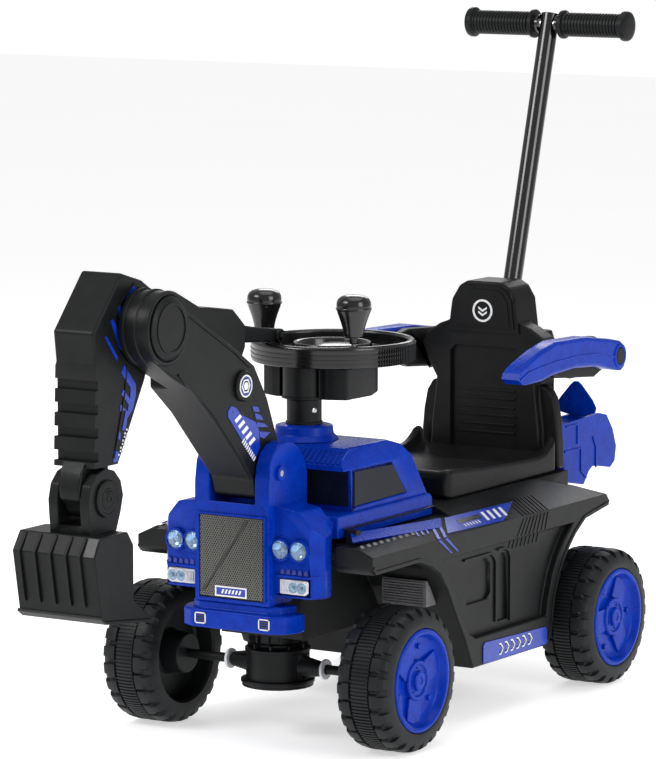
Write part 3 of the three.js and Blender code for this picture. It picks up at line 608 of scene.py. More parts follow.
def seat_mesh():
    bm = bmesh.new()
    rings = []
    for y, half, base, lip, floor in seat_stations():
        depth = lip - floor
        run = min(14.0, 3.0 + depth * 0.7)
        section = [
            (0, base), (half - 4, base), (half - 1, base + 1), (half, base + 4), (half, lip - 6),
            (half - 0.8, lip - 2.6), (half - 2.8, lip - 0.8), (half - 5.5, lip),
            (half - 9.5, lip - depth * 0.02), (half - 12, lip - depth * 0.12),
            (half - 13.5, lip - depth * 0.35), (half - 14.5, lip - depth * 0.7),
            (half - 17, lip - depth * 0.92), (half - 16 - run * 0.6, lip - depth * 0.99),
            (half - 30, floor), (0, floor),
        ]
        loop = section + [(-x, z) for x, z in section[-2:0:-1]]
        rings.append([bm.verts.new(place(x, y, z)) for x, z in loop])
    join_rings(bm, rings)
    bm.faces.new(rings[0])
    bm.faces.new(rings[-1])
    return outward(bm)


piece("seat_moulding", seat_mesh(), "frame", "seat", ["seat"], smooth=50.0)


def screw(x, y, z, axis, out, radius=5.0):
    """Countersunk cross-head screw with its head standing along one axis."""
    profile = [
        (0, -1.5), (radius, -1.5), (radius, 0.2), (radius * 0.86, 0.9), (radius * 0.5, 1.0),
        (radius * 0.36, 0.2), (0, 0),
    ]
    return turn([(r, out * h) for r, h in profile], axis, (x, y, z), 24)


piece("seat_screws", merged(
    screw(-74, 513.6, 292, "y", -1), screw(53, 513.8, 292, "y", -1),
    screw(-92, 240, 309, "z", 1), screw(80, 262, 291, "z", 1),
), "frame", "steel")

# ---- backrest
PANEL = {"y": 520.0, "half": 44.0, "ribs": (318, 329, 341, 352, 364, 375)}
back_ribs = []
for z in PANEL["ribs"]:
    half, y = PANEL["half"], PANEL["y"]
    outline = [(-half, z), (half, z + 0.2), (half, z + 3.2), (-half, z + 3.0)]
    back_ribs.append(plate(outline, "y", y - 1.6, y + 1, 1.0, 2))
piece("backrest_ribs", merged(*back_ribs), "frame", "seat")
HEAD_PAD = [(-47, 461), (47, 461), (42.5, 500), (34, 512), (24, 517), (-24, 517), (-34, 512), (-42.5, 500)]
piece("head_pad", merged(
    plate(HEAD_PAD, "y", 509.6, 512, 1.4, 3),
    plate([(x * 0.86, 464 + (z - 461) * 0.86) for x, z in HEAD_PAD], "y", 508.4, 510, 1.0, 3),
), "frame", "seat")
EMBLEM_Z = 484.0
emblem = [hoop(12.4, 15.2, -0.5, 0.5, "y", (0, 508.2, EMBLEM_Z), 48)]
for z in (EMBLEM_Z - 3.4, EMBLEM_Z + 2.4):
    chevron = [(-6.5, z), (0, z - 4.2), (6.5, z), (6.5, z + 3), (0, z - 1.2), (-6.5, z + 3)]
    emblem.append(plate(chevron, "y", 507.7, 508.7, 0.2))
piece("head_emblem", merged(*emblem), "frame", "decal_white", smooth=30.0)

# ---- console
TRAY = {"y": 130.0, "radius": 103.0, "z0": 459.0, "z1": 484.0}
bands = []
for z, extra in ((462.0, 0.9), (467.5, 1.2), (473.0, 1.2), (479.0, 0.9)):
    inner, outer = TRAY["radius"] - 2, TRAY["radius"] + extra
    profile = [(inner, z), (outer, z + 0.6), (outer, z + 2.6), (inner, z + 3.2), (inner, z)]
    bands.append(turn(profile, "z", (0, TRAY["y"], 0), 96))
piece("tray_bands", merged(*bands), "console", "gloss")
rim = turn([
    (95.4, 478), (95.2, 483), (96.2, 485.2), (98.4, 486.2), (101, 486.0), (103, 484.6), (103.8, 482),
    (103.4, 478), (95.4, 478),
], "z", (0, TRAY["y"], 0), 96)
piece("tray_rim", rim, "console", "gloss", smooth=60.0)
grip_ribs = []
for k in range(34):
    for side in (1, -1):
        a = math.radians(-24 + 74 * k / 33)
        u, v = side * math.cos(a), math.sin(a)
        r0, r1, w = TRAY["radius"] - 1, TRAY["radius"] + 1.9, 1.2
        around = ((r0, w), (r1, w * 0.6), (r1, -w * 0.6), (r0, -w))
        corners = [(r * u + s * v, TRAY["y"] + r * v - s * u) for r, s in around]
        grip_ribs.append(prism(corners, "z", TRAY["z0"] + 1, TRAY["z1"] - 2))
piece("tray_grip_ribs", merged(*grip_ribs), "console", "black")
cup = merged(
    turn([
        (42, 470), (44, 478.6), (46, 480.4), (48.6, 480.4), (50, 478.6), (51.5, 466), (42, 466), (42, 470),
    ], "z", (-6, TRAY["y"] + 8, 0), 72),
    turn([(64, 467.6), (66, 471), (69, 471), (71, 467.6), (64, 467.6)], "z", (0, TRAY["y"], 0), 80),
)
piece("tray_rings", cup, "console", "gloss", smooth=50.0)

for side_name in ("left", "right"):
    node = f"lever_knob_{side_name}"
    kx, ky, _ = middle(node)
    knob = turn([
        (0, 497), (11.6, 497), (12.6, 498.2), (12.9, 502), (14, 508), (15.8, 514), (18, 520.6), (20.1, 526),
        (21.2, 529.6), (21.6, 531), (22.3, 531.4), (22.6, 532.4), (22.2, 533.6), (21.6, 534), (21.8, 537),
        (21.2, 541), (19.4, 544.6), (16, 547.4), (11, 549), (5, 549.8), (0, 550),
    ], "z", (kx, ky, 0), 56)
    neck = turn([(0, 488), (5, 488), (5.4, 490), (5.4, 497.4), (0, 497.4)], "z", (kx, ky, 0), 32)
    piece(f"{node}_grip", merged(knob, neck), NODE_BODY[node], "gloss", [node], smooth=50.0)

# the screw on the side of the column, turned to face along its own direction
screw_turn = math.radians(-23.0)
COLUMN_Y = 62.0
sx, sy = 22.0 * math.cos(screw_turn), COLUMN_Y + 22.0 * math.sin(screw_turn)
column_screw = turn([
    (0, -2), (3.6, -2), (3.6, 0.4), (2.8, 1.0), (1.2, 1.0), (0.8, 0.3), (0, 0.2),
], "x", (0, 0, 0), 20)
turned = Matrix.Rotation(screw_turn, 4, "Z") @ Matrix.Translation(-place(0, 0, 0))
seated = Matrix.Translation(place(sx, sy, 404)) @ turned
bmesh.ops.transform(column_screw, matrix=seated, verts=column_screw.verts)
piece("column_screw", column_screw, "console", "steel")
foot_ring = turn([
    (21, 386.4), (23.4, 386.4), (23.4, 388.4), (22.4, 389.4), (21, 389.4), (21, 386.4),
], "z", (0, COLUMN_Y, 0), 48)
piece("column_foot_ring", foot_ring, "console", "black")
box_frame = merged(
    plate(rect(28.5, 420, 30.5, 458), "y", 50, 57, 0.5),
    plate(rect(-30.5, 420, -28.5, 458), "y", 50, 57, 0.5),
    turn([
        (26.6, 418), (28.6, 418.6), (28.6, 421), (26.6, 421.6), (26.6, 418),
    ], "z", (0, COLUMN_Y, 0), 48),
)
piece("console_box_ribs", box_frame, "console", "black")

# ---- push bar grips
for side_name, side in (("left", 1), ("right", -1)):
    node = f"push_grip_{side_name}"
    _, gy, gz = middle(node)
    outline = [(0, 20), (18.2, 20), (19.4, 21), (19.4, 24.6), (18.2, 25.8), (15.6, 26.2)]
    station = 28.0
    while station < 110:
        outline += [(14.9, station), (16.3, station + 0.8), (16.3, station + 3.0), (14.9, station + 3.8)]
        station += 4.8
    outline += [
        (15.4, 112.5), (18.6, 113.6), (20.2, 115), (20.4, 119.6), (19.2, 122), (16, 123.6), (9, 124.2),
        (0, 124.2),
    ]
    grip = turn([(r, side * h) for r, h in outline], "x", (0, gy, gz), 48)
    piece(f"{node}_ribbed", grip, NODE_BODY[node], "black", [node], smooth=34.0)
_, ty, tz = middle("push_crossbar")
for name, side in (("push_tee_clamp", -1), ("push_tee_clamp_right", 1)):
    profile = [(0, 17.5), (11.5, 17.5), (12.6, 16.4), (12.6, 13), (0, 13)]
    clamp = turn([(r, side * h) for r, h in profile], "x", (0, ty, tz), 40)
    piece(name, clamp, "push_bar", "tube")

# ---- lamps
for side_name in ("left", "right"):
    for spot_name in ("outer", "inner"):
        node = f"headlamp_{side_name}_{spot_name}"
        lx, _, lz = middle(node)
        centre = (lx, extent(node)[0][1], lz)
        body = NODE_BODY[node]
        reflector = turn([
            (0, 9.5), (13, 9.5), (13, 3.2), (13.9, 2.4), (13.9, 0.8), (12.6, 0.4), (11.6, 1.6), (9.4, 4.6),
            (6, 6.8), (2.6, 7.6), (0, 7.6),
        ], "y", centre, 48)
        piece(f"{node}_reflector", reflector, body, "chrome", [node], smooth=40.0)
        rim = turn([
            (11.8, -0.6), (14.0, -0.6), (14.2, 0), (14.2, 2.6), (11.8, 2.6), (11.8, -0.6),
        ], "y", centre, 48)
        piece(f"{node}_rim", rim, body, "blue", smooth=40.0)
        bulb = turn([
            (0, 7.8), (2.6, 7.8), (3.2, 6.2), (3.4, 4.6), (2.6, 3.2), (0, 2.6),
        ], "y", centre, 28)
        piece(f"{node}_bulb", bulb, body, "white", smooth=50.0)
        dome = turn([
            (0, -2.4), (3.6, -2.1), (7, -1.3), (9.8, 0), (11.6, 1.5), (10.6, 2.1), (8.8, 0.9), (6, -0.2),
            (3, -0.8), (0, -1),
        ], "y", centre, 48)
        piece(f"{node}_dome", dome, body, "lens", smooth=50.0)
    node = f"marker_lamp_{side_name}"
    (xa, front, z0), (xb, _, z1) = extent(node)
    x0, x1 = sorted((abs(xa), abs(xb)))
    tray_part = plate([
        (x0, z0 + 1), (x0 + 1, z0), (x1 - 4, z0), (x1, z0 + 3), (x1, z1 - 2), (x1 - 2, z1), (x0 + 1, z1),
        (x0, z1 - 1),
    ], "y", front + 1.2, front + 9, 0.6)
    bars = []
    for x in (x0 + 2 + 2.2 * k for k in range(5)):
        bars.append(plate(rect(x, z0 + 2.4, x + 1.2, z1 - 2.4), "y", front - 0.4, front + 1.6, 0.3))
    spots = [(x0 + u, front, (z0 + z1) / 2) for u in (20.4, 32.2)]
    cups = [turn([
        (0, 1.6), (8.4, 1.6), (8.4, -0.6), (7.4, -0.8), (5.6, 0.6), (2.4, 1.2), (0, 1.2),
    ], "y", spot, 36) for spot in spots]
    glass = merged(*[turn([
        (0, -2.4), (3, -2.2), (5.6, -1.3), (7.6, 0), (7, 0.6), (5, -0.6), (2.6, -1.2), (0, -1.4),
    ], "y", spot, 36) for spot in spots])
    lamp = on_side(merged(tray_part, *bars, *cups), side_name)
    piece(f"{node}_reflectors", lamp, NODE_BODY[node], "white", [node], smooth=40.0)
    piece(f"{node}_glass", on_side(glass, side_name), NODE_BODY[node], "lens", smooth=50.0)

# ---- grille
(_, grille_y, grille_z0), (grille_half, _, grille_z1) = extent("grille")
grille_y -= 0.1
LATTICE = {"pitch": 3.4, "bar": 0.34, "slant": math.radians(58.0), "margin": 1.5}


def lattice_bar(offset, slope):
    """One bar of the lattice cut to the grille opening, on the line x = offset + (z - z0) / slope."""
    half = grille_half - LATTICE["margin"]
    z0, z1 = grille_z0 + LATTICE["margin"], grille_z1 - LATTICE["margin"]
    ends = []
    for z in (z0, z1):
        x = offset + (z - z0) / slope
        if x < -half:
            z += (-half - x) * slope
            x = -half
        if x > half:
            z += (half - x) * slope
            x = half
        ends.append((x, min(max(z, z0), z1)))
    (xa, za), (xb, zb) = ends
    if math.hypot(xb - xa, zb - za) < 3.0:
        return None
    w = LATTICE["bar"] / math.sin(LATTICE["slant"])
    outline = [(xa - w, za), (xa + w, za), (xb + w, zb), (xb - w, zb)]
    return prism(outline, "y", grille_y - 0.55, grille_y + 0.3)


lattice = []
slope = math.tan(LATTICE["slant"])
reach = (grille_z1 - grille_z0) / slope
offset = -grille_half - reach
while offset < grille_half + reach:
    lattice += [bar for bar in (lattice_bar(offset, slope), lattice_bar(offset, -slope)) if bar]
    offset += LATTICE["pitch"]
piece("grille_lattice", merged(*lattice), "frame", "mesh_metal", smooth=20.0)
diagonal = [(x, grille_y, z) for x, z in ((-43, 196), (-39, 196), (24, 286), (20, 286))]
piece("grille_diagonal", film(diagonal, (0, -1, 0), 1.6, 0.2), "frame", "gloss")
BADGE = {"x0": -23.0, "x1": 23.0, "z0": 190.4, "z1": 203.4, "line": 1.8}
badge_y = grille_y - 1.4
x0, x1, z0, z1, line = BADGE.values()
border = [prism(rect(*corners), "y", badge_y - 0.7, badge_y + 0.4) for corners in (
    (x0, z0, x1, z0 + line), (x0, z1 - line, x1, z1),
    (x0, z0 + line, x0 + line, z1 - line), (x1 - line, z0 + line, x1, z1 - line),
)]
marks = []
for x in range(-14, 16, 5):
    stroke = [(x, z0 + 4), (x + 2.4, z0 + 4), (x + 4.4, z1 - 4), (x + 2, z1 - 4)]
    marks.append(prism(stroke, "y", badge_y - 0.6, badge_y + 0.4))
badge = plate(rect(x0, z0, x1, z1), "y", badge_y, grille_y + 0.2, 0.3)
piece("grille_badge", badge, "frame", "decal_blue")
piece("grille_badge_border", merged(*border, *marks), "frame", "decal_white")
outer = grille_half + 2.6
edges = [plate(rect(*corners), "y", grille_y - 1.2, grille_y + 4, 0.7, 2) for corners in (
    (-outer, grille_z1 - 0.4, outer, grille_z1 + 2.4),
    (grille_half - 0.2, grille_z0, outer, grille_z1),
    (-outer, grille_z0, -grille_half + 0.2, grille_z1),
)]
piece("grille_frame", merged(*edges), "frame", "blue")

# ---- cowl details
vent_frames = []
vent_bars = []
VENT_Y = -108.2
for x0 in (-52.0, 41.0):
    x1, z0, z1 = x0 + 16, 154.0, 168.0
    for corners in (
        (x0, z0, x1, z0 + 1.4), (x0, z1 - 1.4, x1, z1), (x0, z0, x0 + 1.4, z1), (x1 - 1.4, z0, x1, z1),
    ):
        vent_frames.append(prism(rect(*corners), "y", VENT_Y - 0.8, VENT_Y + 0.6))
    for k in range(4):
        z = z0 + 3 + 3.1 * k
        vent_bars.append(prism(rect(x0 + 2.4, z, x1 - 2.4, z + 1.7), "y", VENT_Y - 0.5, VENT_Y + 0.6))
piece("bumper_vent_frames", merged(*vent_frames), "frame", "decal_white")
piece("bumper_vent_bars", merged(*vent_bars), "frame", "gloss")

slots = []
for x in (63.5 + 8.4 * k for k in range(5)):
    slot = [(x, -92, 223), (x + 5.4, -92, 224.4), (x + 4.4, -92, 230), (x, -92, 228.6)]
    slots.append(film(slot, (0, -1, 0), 0.7))
pod_ledge = plate([
    (57, -94.2), (103.4, -92.6), (116.5, -75), (110, -70), (98, -88), (57, -89),
], "z", 219, 222.5, 0.8, 2)
pin_collar = turn([
    (4.0, 54.3), (9.2, 54.3), (9.2, 57.8), (8.4, 58.4), (4.8, 58.4), (4.0, 57.8), (4.0, 54.3),
], "x", (0, -80, 345), 40)
piece("ear_pin_collars", both_sides(pin_collar), "frame", "blue", smooth=34.0)
piece("pod_slots", both_sides(*slots), "frame", "decal_deep")
piece("pod_ledges", both_sides(pod_ledge), "frame", "blue")
windscreen = [(38, 2, 296.5), (102.6, 2, 296.5), (101.6, 2, 340.5), (38, 2, 340.5)]
piece("windscreen", both_sides(film(windscreen, (0, -1, 0), 0.8)), "frame", "pane")
louvres = []
for x in (33 + 7.6 * k for k in range(9)):
    louvre = [(x, -12.6, 349.6), (x + 4.4, -12.6, 349.6), (x + 2.6, 10, 363.4), (x - 1.8, 10, 363.4)]
    louvres.append(film(louvre, (0, -1, 1), 1.6))
piece("roof_louvres", both_sides(*louvres), "frame", "blue")
cab_chevrons = chevrons(5, (28, 278.4), (8.6, 0.1), (4.2, 9.4), 3.4, 107.2)
piece("cab_graphic", both_sides(*cab_chevrons), "frame", "decal_white")
WINDOW = [(8.4, 296.4), (132, 298.2), (99.6, 337.6), (8.4, 339.6)]
for side_name in ("left", "right"):
    glass = on_side(plate(WINDOW, "x", 100, 107.2, 0.5), side_name)
    piece(f"window_{side_name}_pane", glass, "frame", "pane", [f"window_{side_name}"])

# ---- body details
FLANK_X = 172.0
BAND = [(125, -31), (140, -50), (154, 140), (139, 162)]
piece("deck_band", both_sides(slope_film(BAND, 1.2)), "frame", "blue")
piece("deck_gap_line", both_sides(slope_film(rect(113.6, -30, 116.6, 206), 0.8)), "frame", "gloss")
STRIPE = [(140, 170), (143, 340), (170, 268), (166, 134)]
INLAY = [(149, 184), (149, 240), (156, 236), (156, 180)]
piece("body_stripe", both_sides(slope_film(STRIPE, 0.8)), "frame", "decal_blue")
piece("body_stripe_inlay", both_sides(slope_film(INLAY, 1.1)), "frame", "gloss")
marks = [slope_film([(147, y), (163, y - 9), (163, y - 3), (147, y + 6)], 1.4) for y in range(248, 294, 15)]
for y in range(186, 222, 7):
    marks.append(slope_film([(158.5, y), (163.5, y - 1.6), (163.5, y + 0.4), (158.5, y + 2)], 1.4))
piece("body_stripe_marks", both_sides(*marks), "frame", "decal_white")
dashes = [[(149, y), (153.6, y - 3.4), (153.6, y + 4.2), (149, y + 6.6)] for y in range(-48, 82, 15)]
piece("fender_dashes", both_sides(*[slope_film(dash, 0.8) for dash in dashes]), "frame", "grey")
slashes = [slope_film([(146, y), (158, y - 9), (158, y - 5), (146, y + 4.4)], 0.8) for y in (84, 96, 108)]
for y in (126, 142):
    slashes.append(slope_film([(146, y), (171.5, y - 26), (171.5, y - 19), (146, y + 6)], 0.8))
for y in (126, 142):
    slash = [(y - 26, 246.6), (y - 19, 246.6), (y + 9, 226), (y + 6, 226)]
    slashes.append(side_film(FLANK_X, slash, 0.8))
piece("fender_slashes", both_sides(*slashes), "frame", "decal_blue")
FENDER_EDGE = [
    (-56, 232.5), (-49, 225), (20, 225.6), (56, 226), (84, 217), (105, 205), (124, 181), (138, 158),
    (152, 135), (166, 114), (182, 83), (188, 71),
]
REAR_EDGE = [
    (383, 70), (390, 84), (395, 100), (400, 128), (412, 156), (424, 174), (438, 190), (456, 206),
    (482, 222), (546, 231.6),
]
lips = raised_lines([(FENDER_EDGE, 5.0), (REAR_EDGE, 5.0)], 170.5, 173.4, 0.8)
piece("fender_lips", both_sides(lips), "frame", "black")
door_frames = raised_lines([
    ([(262, 118), (262, 196), (257, 204), (248, 210), (180, 210)], 3.0),
    ([(299, 114), (299, 198), (294, 207), (284, 212), (266, 212)], 3.0),
], 160.5, 164.6, 0.8)
piece("door_frames", both_sides(door_frames), "frame", "black")
flank = []
for k in range(8):
    top, foot = 322 + 9.0 * k, 304 + 10.5 * k
    flank += [bevel(rib, 0.3) for rib in (
        side_film(FLANK_X, [(top - 4.4, 244.6), (top, 244.6), (foot, 222.4), (foot - 4.4, 222.4)], 0.8),
        slope_film([(171.4, top - 4.4), (171.4, top), (140, top + 11), (140, top + 6.6)], 0.8),
        side_film(162, [(foot - 4.4, 218), (foot, 218), (foot - 6, 206), (foot - 10.4, 206)], 0.8),
    )]
piece("flank_ribs", both_sides(*flank), "frame", "black")
SILL = [(213, 74), (217, 71.5), (376, 71), (380, 74), (379, 90), (375, 94.5), (218, 99), (213, 95.5)]
piece("sill_plate", both_sides(bevel(side_film(FLANK_X, SILL, 1.4), 0.5)), "frame", "decal_blue")
sill_marks = chevrons(6, (252, 77), (15, 0.2), (6.5, 15), 5.5, FLANK_X + 1.2, 0.6)
sill_cores = chevrons(6, (253.6, 79), (15, 0.2), (5.2, 11), 2.6, FLANK_X + 1.7, 0.5)
piece("sill_marks", both_sides(*sill_marks), "frame", "decal_white")
piece("sill_mark_cores", both_sides(*sill_cores), "frame", "gloss")
lug = plate([(-34, 246), (-15, 244), (-17, 273), (-28, 274)], "x", 117.5, 132, 1.4, 2)
piece("fender_lugs", both_sides(lug), "frame", "black")
ARCH_BLOCK = {"outline": [(112, 191), (112, 158), (149, 158), (131, 191)], "x": (84, 148)}
arch = [prism(ARCH_BLOCK["outline"], "x", *ARCH_BLOCK["x"])]
for z in (160 + 3.4 * k for k in range(9)):
    arch.append(prism(rect(109.8, z, 112.4, z + 1.7), "x", 86, 146))
piece("arch_rib_blocks", both_sides(*arch), "frame", "grey")

# ---- arm details
BOOM_FACE = 31.0
BOOM_PLATE = [
    (-160, 422), (-160, 429), (-153, 434), (-142, 431), (-133, 422), (-98, 408), (-92, 398), (-89, 376),
    (-102, 361),
]
piece("boom_plate", side_film(BOOM_FACE, BOOM_PLATE, 0.8), "boom", "decal_blue")


def plate_mark(outline):
    """Film on the boom plate: u runs along it towards its lower rear end, v across it upwards."""
    return side_film(BOOM_FACE + 0.7, [
        (-152 + u * 0.70 + v * 0.71, 419 - u * 0.71 + v * 0.70) for u, v in outline
    ])


letters = [plate_mark([(u, 2), (u + 5.4, 2), (u + 9.4, 15), (u + 4, 15)]) for u in (6, 17, 28, 39, 50)]
comb = [plate_mark(rect(38 + 4.4 * k, -6.4, 40.2 + 4.4 * k, 0)) for k in range(9)]
piece("boom_plate_marks", merged(*letters, *comb), "boom", "decal_white")
piece("boom_slashes", merged(*[side_film(BOOM_FACE, o, 0.8) for o in (
    [(-106, 429), (-93, 426), (-90, 420), (-103, 422)], [(-101, 420), (-86, 415), (-82, 409), (-98, 412)],
    [(-96, 408), (-78, 404), (-71, 399), (-95, 402)], [(-91, 396), (-66, 392), (-80, 386), (-89, 389)],
)]), "boom", "decal_blue")
boss = (0, -127, 456)
piece("boom_boss", turn([
    (0, 30), (19, 30), (19, 34.2), (17.6, 35.8), (15.8, 36.2), (15, 35.6), (0, 35.6),
], "x", boss, 48), "boom", "black", smooth=30.0)
piece("boom_emblem", merged(
    hoop(12.0, 13.8, 35.2, 36.4, "x", boss, 40),
    hoop(7.4, 9.4, 35.2, 36.4, "x", boss, 6),
    turn([(0, 35.2), (5.2, 35.2), (5.2, 36.4), (0, 36.4)], "x", boss, 6),
), "boom", "decal_white", smooth=20.0)
piece("boom_emblem_ring", hoop(9.8, 11.6, 35.2, 36.0, "x", boss, 40), "boom", "decal_blue")
piece("boom_side_lines", raised_lines([
    ([(-252, 556), (-146, 498), (-112, 476)], 2.4),
    ([(-268, 484), (-232, 456), (-186, 414), (-112, 338)], 2.4),
], BOOM_FACE - 0.6, BOOM_FACE + 1.6), "boom", "black")
elbow = (0, -294, 543)
piece("elbow_rings", merged(
    turn([
        (39, 33), (44.6, 33), (44.6, 35), (43.4, 36.4), (40.6, 36.6), (39, 35.4), (39, 33),
    ], "x", elbow, 72),
    hoop(27.5, 30.5, 40.6, 42.2, "x", elbow, 72),
    turn([(44, -4), (46.2, -3), (46.2, 2), (44, 3), (44, -4)], "x", elbow, 72),
    turn([(44, 14), (45.8, 15), (45.8, 18), (44, 19), (44, 14)], "x", elbow, 72),
), "boom", "black", smooth=34.0)
link_rear = (0, 56, 494)
piece("link_bolt", merged(
    turn([(0, -35), (9.6, -35), (9.6, -31), (8.6, -29.6), (0, -29.6)], "x", link_rear, 36),
    turn([(0, -30), (5.4, -30), (5.4, -27.4), (4.6, -26.6), (0, -26.6)], "x", link_rear, 6),
), "control_link", "black")

DIPPER_FACE = -8.0
DIPPER_MARKS = [
    [(-318, 578), (-311, 586), (-304, 592), (-296, 588), (-301, 580), (-308, 573)],
    [(-334, 570), (-330, 571), (-327, 556), (-331, 556)],
    [(-350, 555), (-344, 556), (-330, 535), (-328, 517), (-334, 524)],
    [(-363, 537), (-359, 538), (-336, 511), (-337, 506)],
    [(-329, 491), (-323, 500), (-299, 475), (-299, 461), (-306, 445), (-317, 436), (-321, 422), (-328, 423),
     (-320, 446), (-332, 446), (-331, 454), (-316, 444), (-314, 452), (-329, 466), (-325, 471), (-311, 458),
     (-310, 472)],
    [(-338, 416), (-336, 424), (-331, 420), (-332, 411)],
    [(-347, 387), (-344, 401), (-335, 398), (-336, 387)],
]
piece("dipper_marks", merged(*[side_film(DIPPER_FACE, o, 0.7) for o in DIPPER_MARKS]), "dipper", "decal_blue")
speckle = []
for k in range(8):
    for j in range(2):
        y = -319 - 2.2 * k + 4.6 * j - (k % 2) * 1.6
        z = 424 - 4.0 * k - 1.2 * j
        dot = [(y, z), (y + 2.2, z - 0.4), (y + 1.6, z - 2.6), (y - 0.6, z - 2.2)]
        speckle.append(side_film(DIPPER_FACE, dot, 0.8))
piece("dipper_speckle", merged(*speckle), "dipper", "decal_white")
piece("dipper_seams", raised_lines([
    ([(-366, 560), (-338, 520), (-318, 500), (-322, 470), (-346, 392)], 2.0),
    ([(-300, 596), (-352, 560)], 2.0),
], DIPPER_FACE - 0.6, DIPPER_FACE + 1.4, 0.5), "dipper", "black")
wrist = (0, -361, 346)
piece("wrist_discs", merged(
    turn([
        (0, -9), (22.4, -9), (22.4, -5.4), (21, -4.2), (18.4, -4.0), (17.4, -4.8), (11, -4.8), (10, -3.6),
        (8, -2.8), (0, -2.8),
    ], "x", wrist, 56),
    hoop(3.4, 5.4, -3.4, -2.2, "x", wrist, 32),
), "bucket", "black", smooth=34.0)
BUCKET_RIB = [
    (-403.5, 305.5), (-406, 305), (-421.4, 285.4), (-412.6, 233), (-410, 224), (-407, 224), (-414, 285),
    (-402, 303),
]
bucket_ribs = [plate(BUCKET_RIB, "x", x - 1.8, x + 1.8, 0.6, 2) for x in (-92, -70, -48, -26, -6)]
piece("bucket_ribs", merged(*bucket_ribs), "bucket", "black")
# painted highlight: a lighter grey film on the chamfer between the bucket's front and side, standing for the
# sheen of light on it
highlight_facet = [(-2, -404.4, 304.8), (12, -404.4, 304.8), (14, -418.6, 285.4), (0, -418.6, 285.4)]
piece("bucket_edge_painted_highlight", film(highlight_facet, (0, -1, 0.6), 0.9), "bucket", "painted_highlight_grey")
lip = raised_lines([([(-405.5, 214), (-397, 207.5), (-297, 195.6)], -4.0)], -104.4, 16.4, 0.8)
piece("bucket_lip", lip, "bucket", "black")


# ---- front axle carrier
def rib_ring(count, inner, outer, half, low, high):
    """Radial ribs standing round the kingpin's line."""
    ribs = []
    for k in range(count):
        a = math.tau * k / count
        u, v = math.cos(a), math.sin(a)
        corners = ((inner, half), (outer, half), (outer, -half), (inner, -half))
        ribs.append(prism([(r * u + s * v, r * v - s * u) for r, s in corners], "z", low, high))
    return ribs


drum_rings = [
    turn([(39, 74), (46.4, 72.6), (46.4, 69.4), (45, 68), (39, 68), (39, 74)], "z", (0, 0, 0), 64),
    turn([(39, 108), (41.2, 109), (41.2, 112), (39, 113), (39, 108)], "z", (0, 0, 0), 64),
]
drum_ribs = rib_ring(10, 30, 38, 1.4, 113, 118.6)
piece("carrier_rings", merged(*drum_rings, *drum_ribs), "front_axle", "black", smooth=40.0)
piece("neck_ribs", merged(*rib_ring(14, 31, 37, 1.2, 121, 131.4)), "frame", "black")

# ---- armrests and pocket
ARM_LINE = [(352, 417), (372, 424), (400, 427), (440, 430), (500, 432), (560, 429), (606, 420)]
for side_name in ("left", "right"):
    line = raised_lines([(ARM_LINE, 2.4)], 146.4, 148.2, 0.5)
    piece(f"armrest_{side_name}_line", on_side(line, side_name), f"armrest_{side_name}", "blue")
for side_name in ("left", "right"):
    ring = on_side(turn([
        (11.4, 146.6), (16.6, 146.6), (16.6, 147.8), (14.6, 148.6), (12, 148.4), (11.4, 146.6),
    ], "x", (0, 622, 421), 40), side_name)
    piece(f"armrest_{side_name}_boss", ring, f"armrest_{side_name}", "blue", smooth=50.0)
piece("pocket_channels", raised_lines([
    ([(566, 292), (610, 292), (610, 262), (626, 250)], 3.0),
    ([(644, 304), (652, 290), (652, 262)], 3.0),
    ([(570, 326), (600, 326), (600, 300)], 2.4),
], 93.4, 95.6), "frame", "blue")

# ---- camera, light and floor
CAMERA = {
    "azimuth": 31.91, "elevation": 7.42, "distance": 5.7177, "lens": 209.31, "target": (-81.5, 249.2, 414.4),
}
azimuth, elevation = (math.radians(CAMERA[k]) for k in ("azimuth", "elevation"))
back = Vector((
    math.sin(azimuth) * math.cos(elevation), -math.cos(azimuth) * math.cos(elevation), math.sin(elevation)
))
right = Vector((math.cos(azimuth), math.sin(azimuth), 0.0))
up = back.cross(right)
camera_data = bpy.data.cameras.new("camera")
camera_data.lens = CAMERA["lens"]
camera_data.sensor_width = 36.0
camera = bpy.data.objects.new("camera", camera_data)
spot = place(*CAMERA["target"]) + back * CAMERA["distance"]
camera.matrix_world = Matrix((
    (right.x, up.x, back.x, spot.x), (right.y, up.y, back.y, spot.y),
    (right.z, up.z, back.z, spot.z), (0, 0, 0, 1),
))
camera_data.clip_end = 60.0
bpy.context.scene.collection.objects.link(camera)
bpy.context.scene.camera = camera


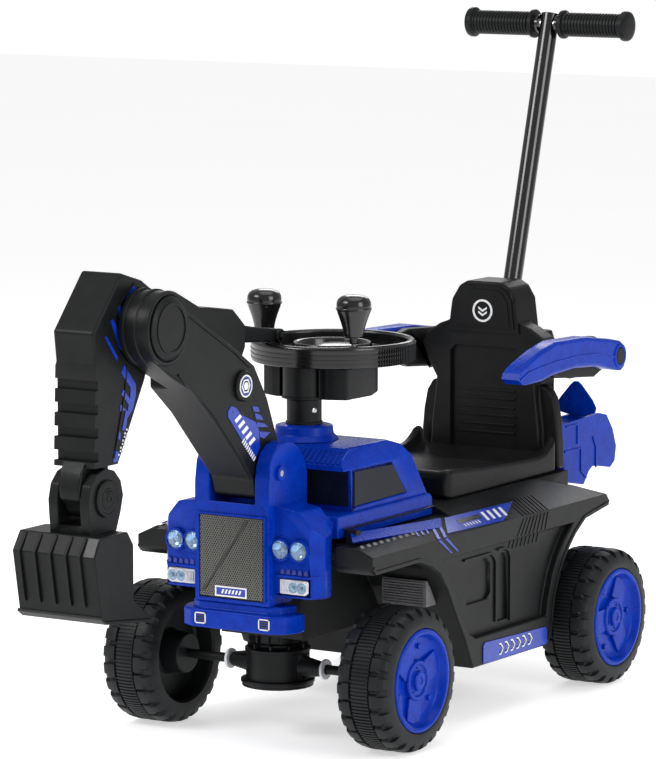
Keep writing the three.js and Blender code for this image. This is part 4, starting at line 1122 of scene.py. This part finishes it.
def area_light(name, position, aim, size, power):
    data = bpy.data.lights.new(name, "AREA")
    data.shape = "RECTANGLE"
    data.size, data.size_y = size
    data.energy = power
    light = bpy.data.objects.new(name, data)
    light.location = Vector(position)
    direction = Vector(aim) - Vector(position)
    light.rotation_euler = direction.to_track_quat("-Z", "Y").to_euler()
    bpy.context.scene.collection.objects.link(light)


area_light("key", (-1.6, -2.6, 2.6), (0, 0, 0.35), (1.6, 1.2), 54.0)
area_light("side", (3.0, -0.6, 1.5), (0, 0, 0.35), (1.4, 1.8), 38.0)
area_light("top", (0.2, 0.2, 3.2), (0, 0, 0.3), (2.4, 2.4), 28.0)
area_light("rear", (-1.2, 3.0, 2.0), (0, 0, 0.4), (2.0, 1.2), 28.0)

world = bpy.data.worlds.new("studio")
world.use_nodes = True
sky = world.node_tree
seen = sky.nodes["Background"]
WHITE = (1.0, 1.0, 1.0, 1.0)
fill(seen, {"Color": WHITE})
lit = sky.nodes.new("ShaderNodeBackground")
fill(lit, {"Color": WHITE, "Strength": 0.42})
ray = sky.nodes.new("ShaderNodeLightPath")
mix = sky.nodes.new("ShaderNodeMixShader")
sky.links.new(ray.outputs["Is Camera Ray"], mix.inputs["Fac"])
sky.links.new(lit.outputs["Background"], mix.inputs[1])
sky.links.new(seen.outputs["Background"], mix.inputs[2])
sky.links.new(mix.outputs["Shader"], sky.nodes["World Output"].inputs["Surface"])
bpy.context.scene.world = world
bpy.context.scene.view_settings.view_transform = "Standard"

floor_mesh = bpy.data.meshes.new("floor")
floor_bm = bmesh.new()
bmesh.ops.create_grid(floor_bm, x_segments=2, y_segments=2, size=12.0)
floor_bm.to_mesh(floor_mesh)
floor_bm.free()
floor_material, floor_tree, floor_shader = new_material("studio_floor")
floor_coord = floor_tree.nodes.new("ShaderNodeTexCoord")
floor_tone = ramp(
    floor_tree, noise(floor_tree, floor_coord, 2.0), [(0.3, (0.90, 0.90, 0.90)), (0.7, (0.92, 0.92, 0.92))]
)
link(floor_tree, floor_tone, "Color", floor_shader, "Base Color")
fill(floor_shader, {"Roughness": 0.7, "Emission Color": WHITE, "Emission Strength": 0.55})
floor_mesh.materials.append(floor_material)
floor = bpy.data.objects.new("floor", floor_mesh)
bpy.context.scene.collection.objects.link(floor)
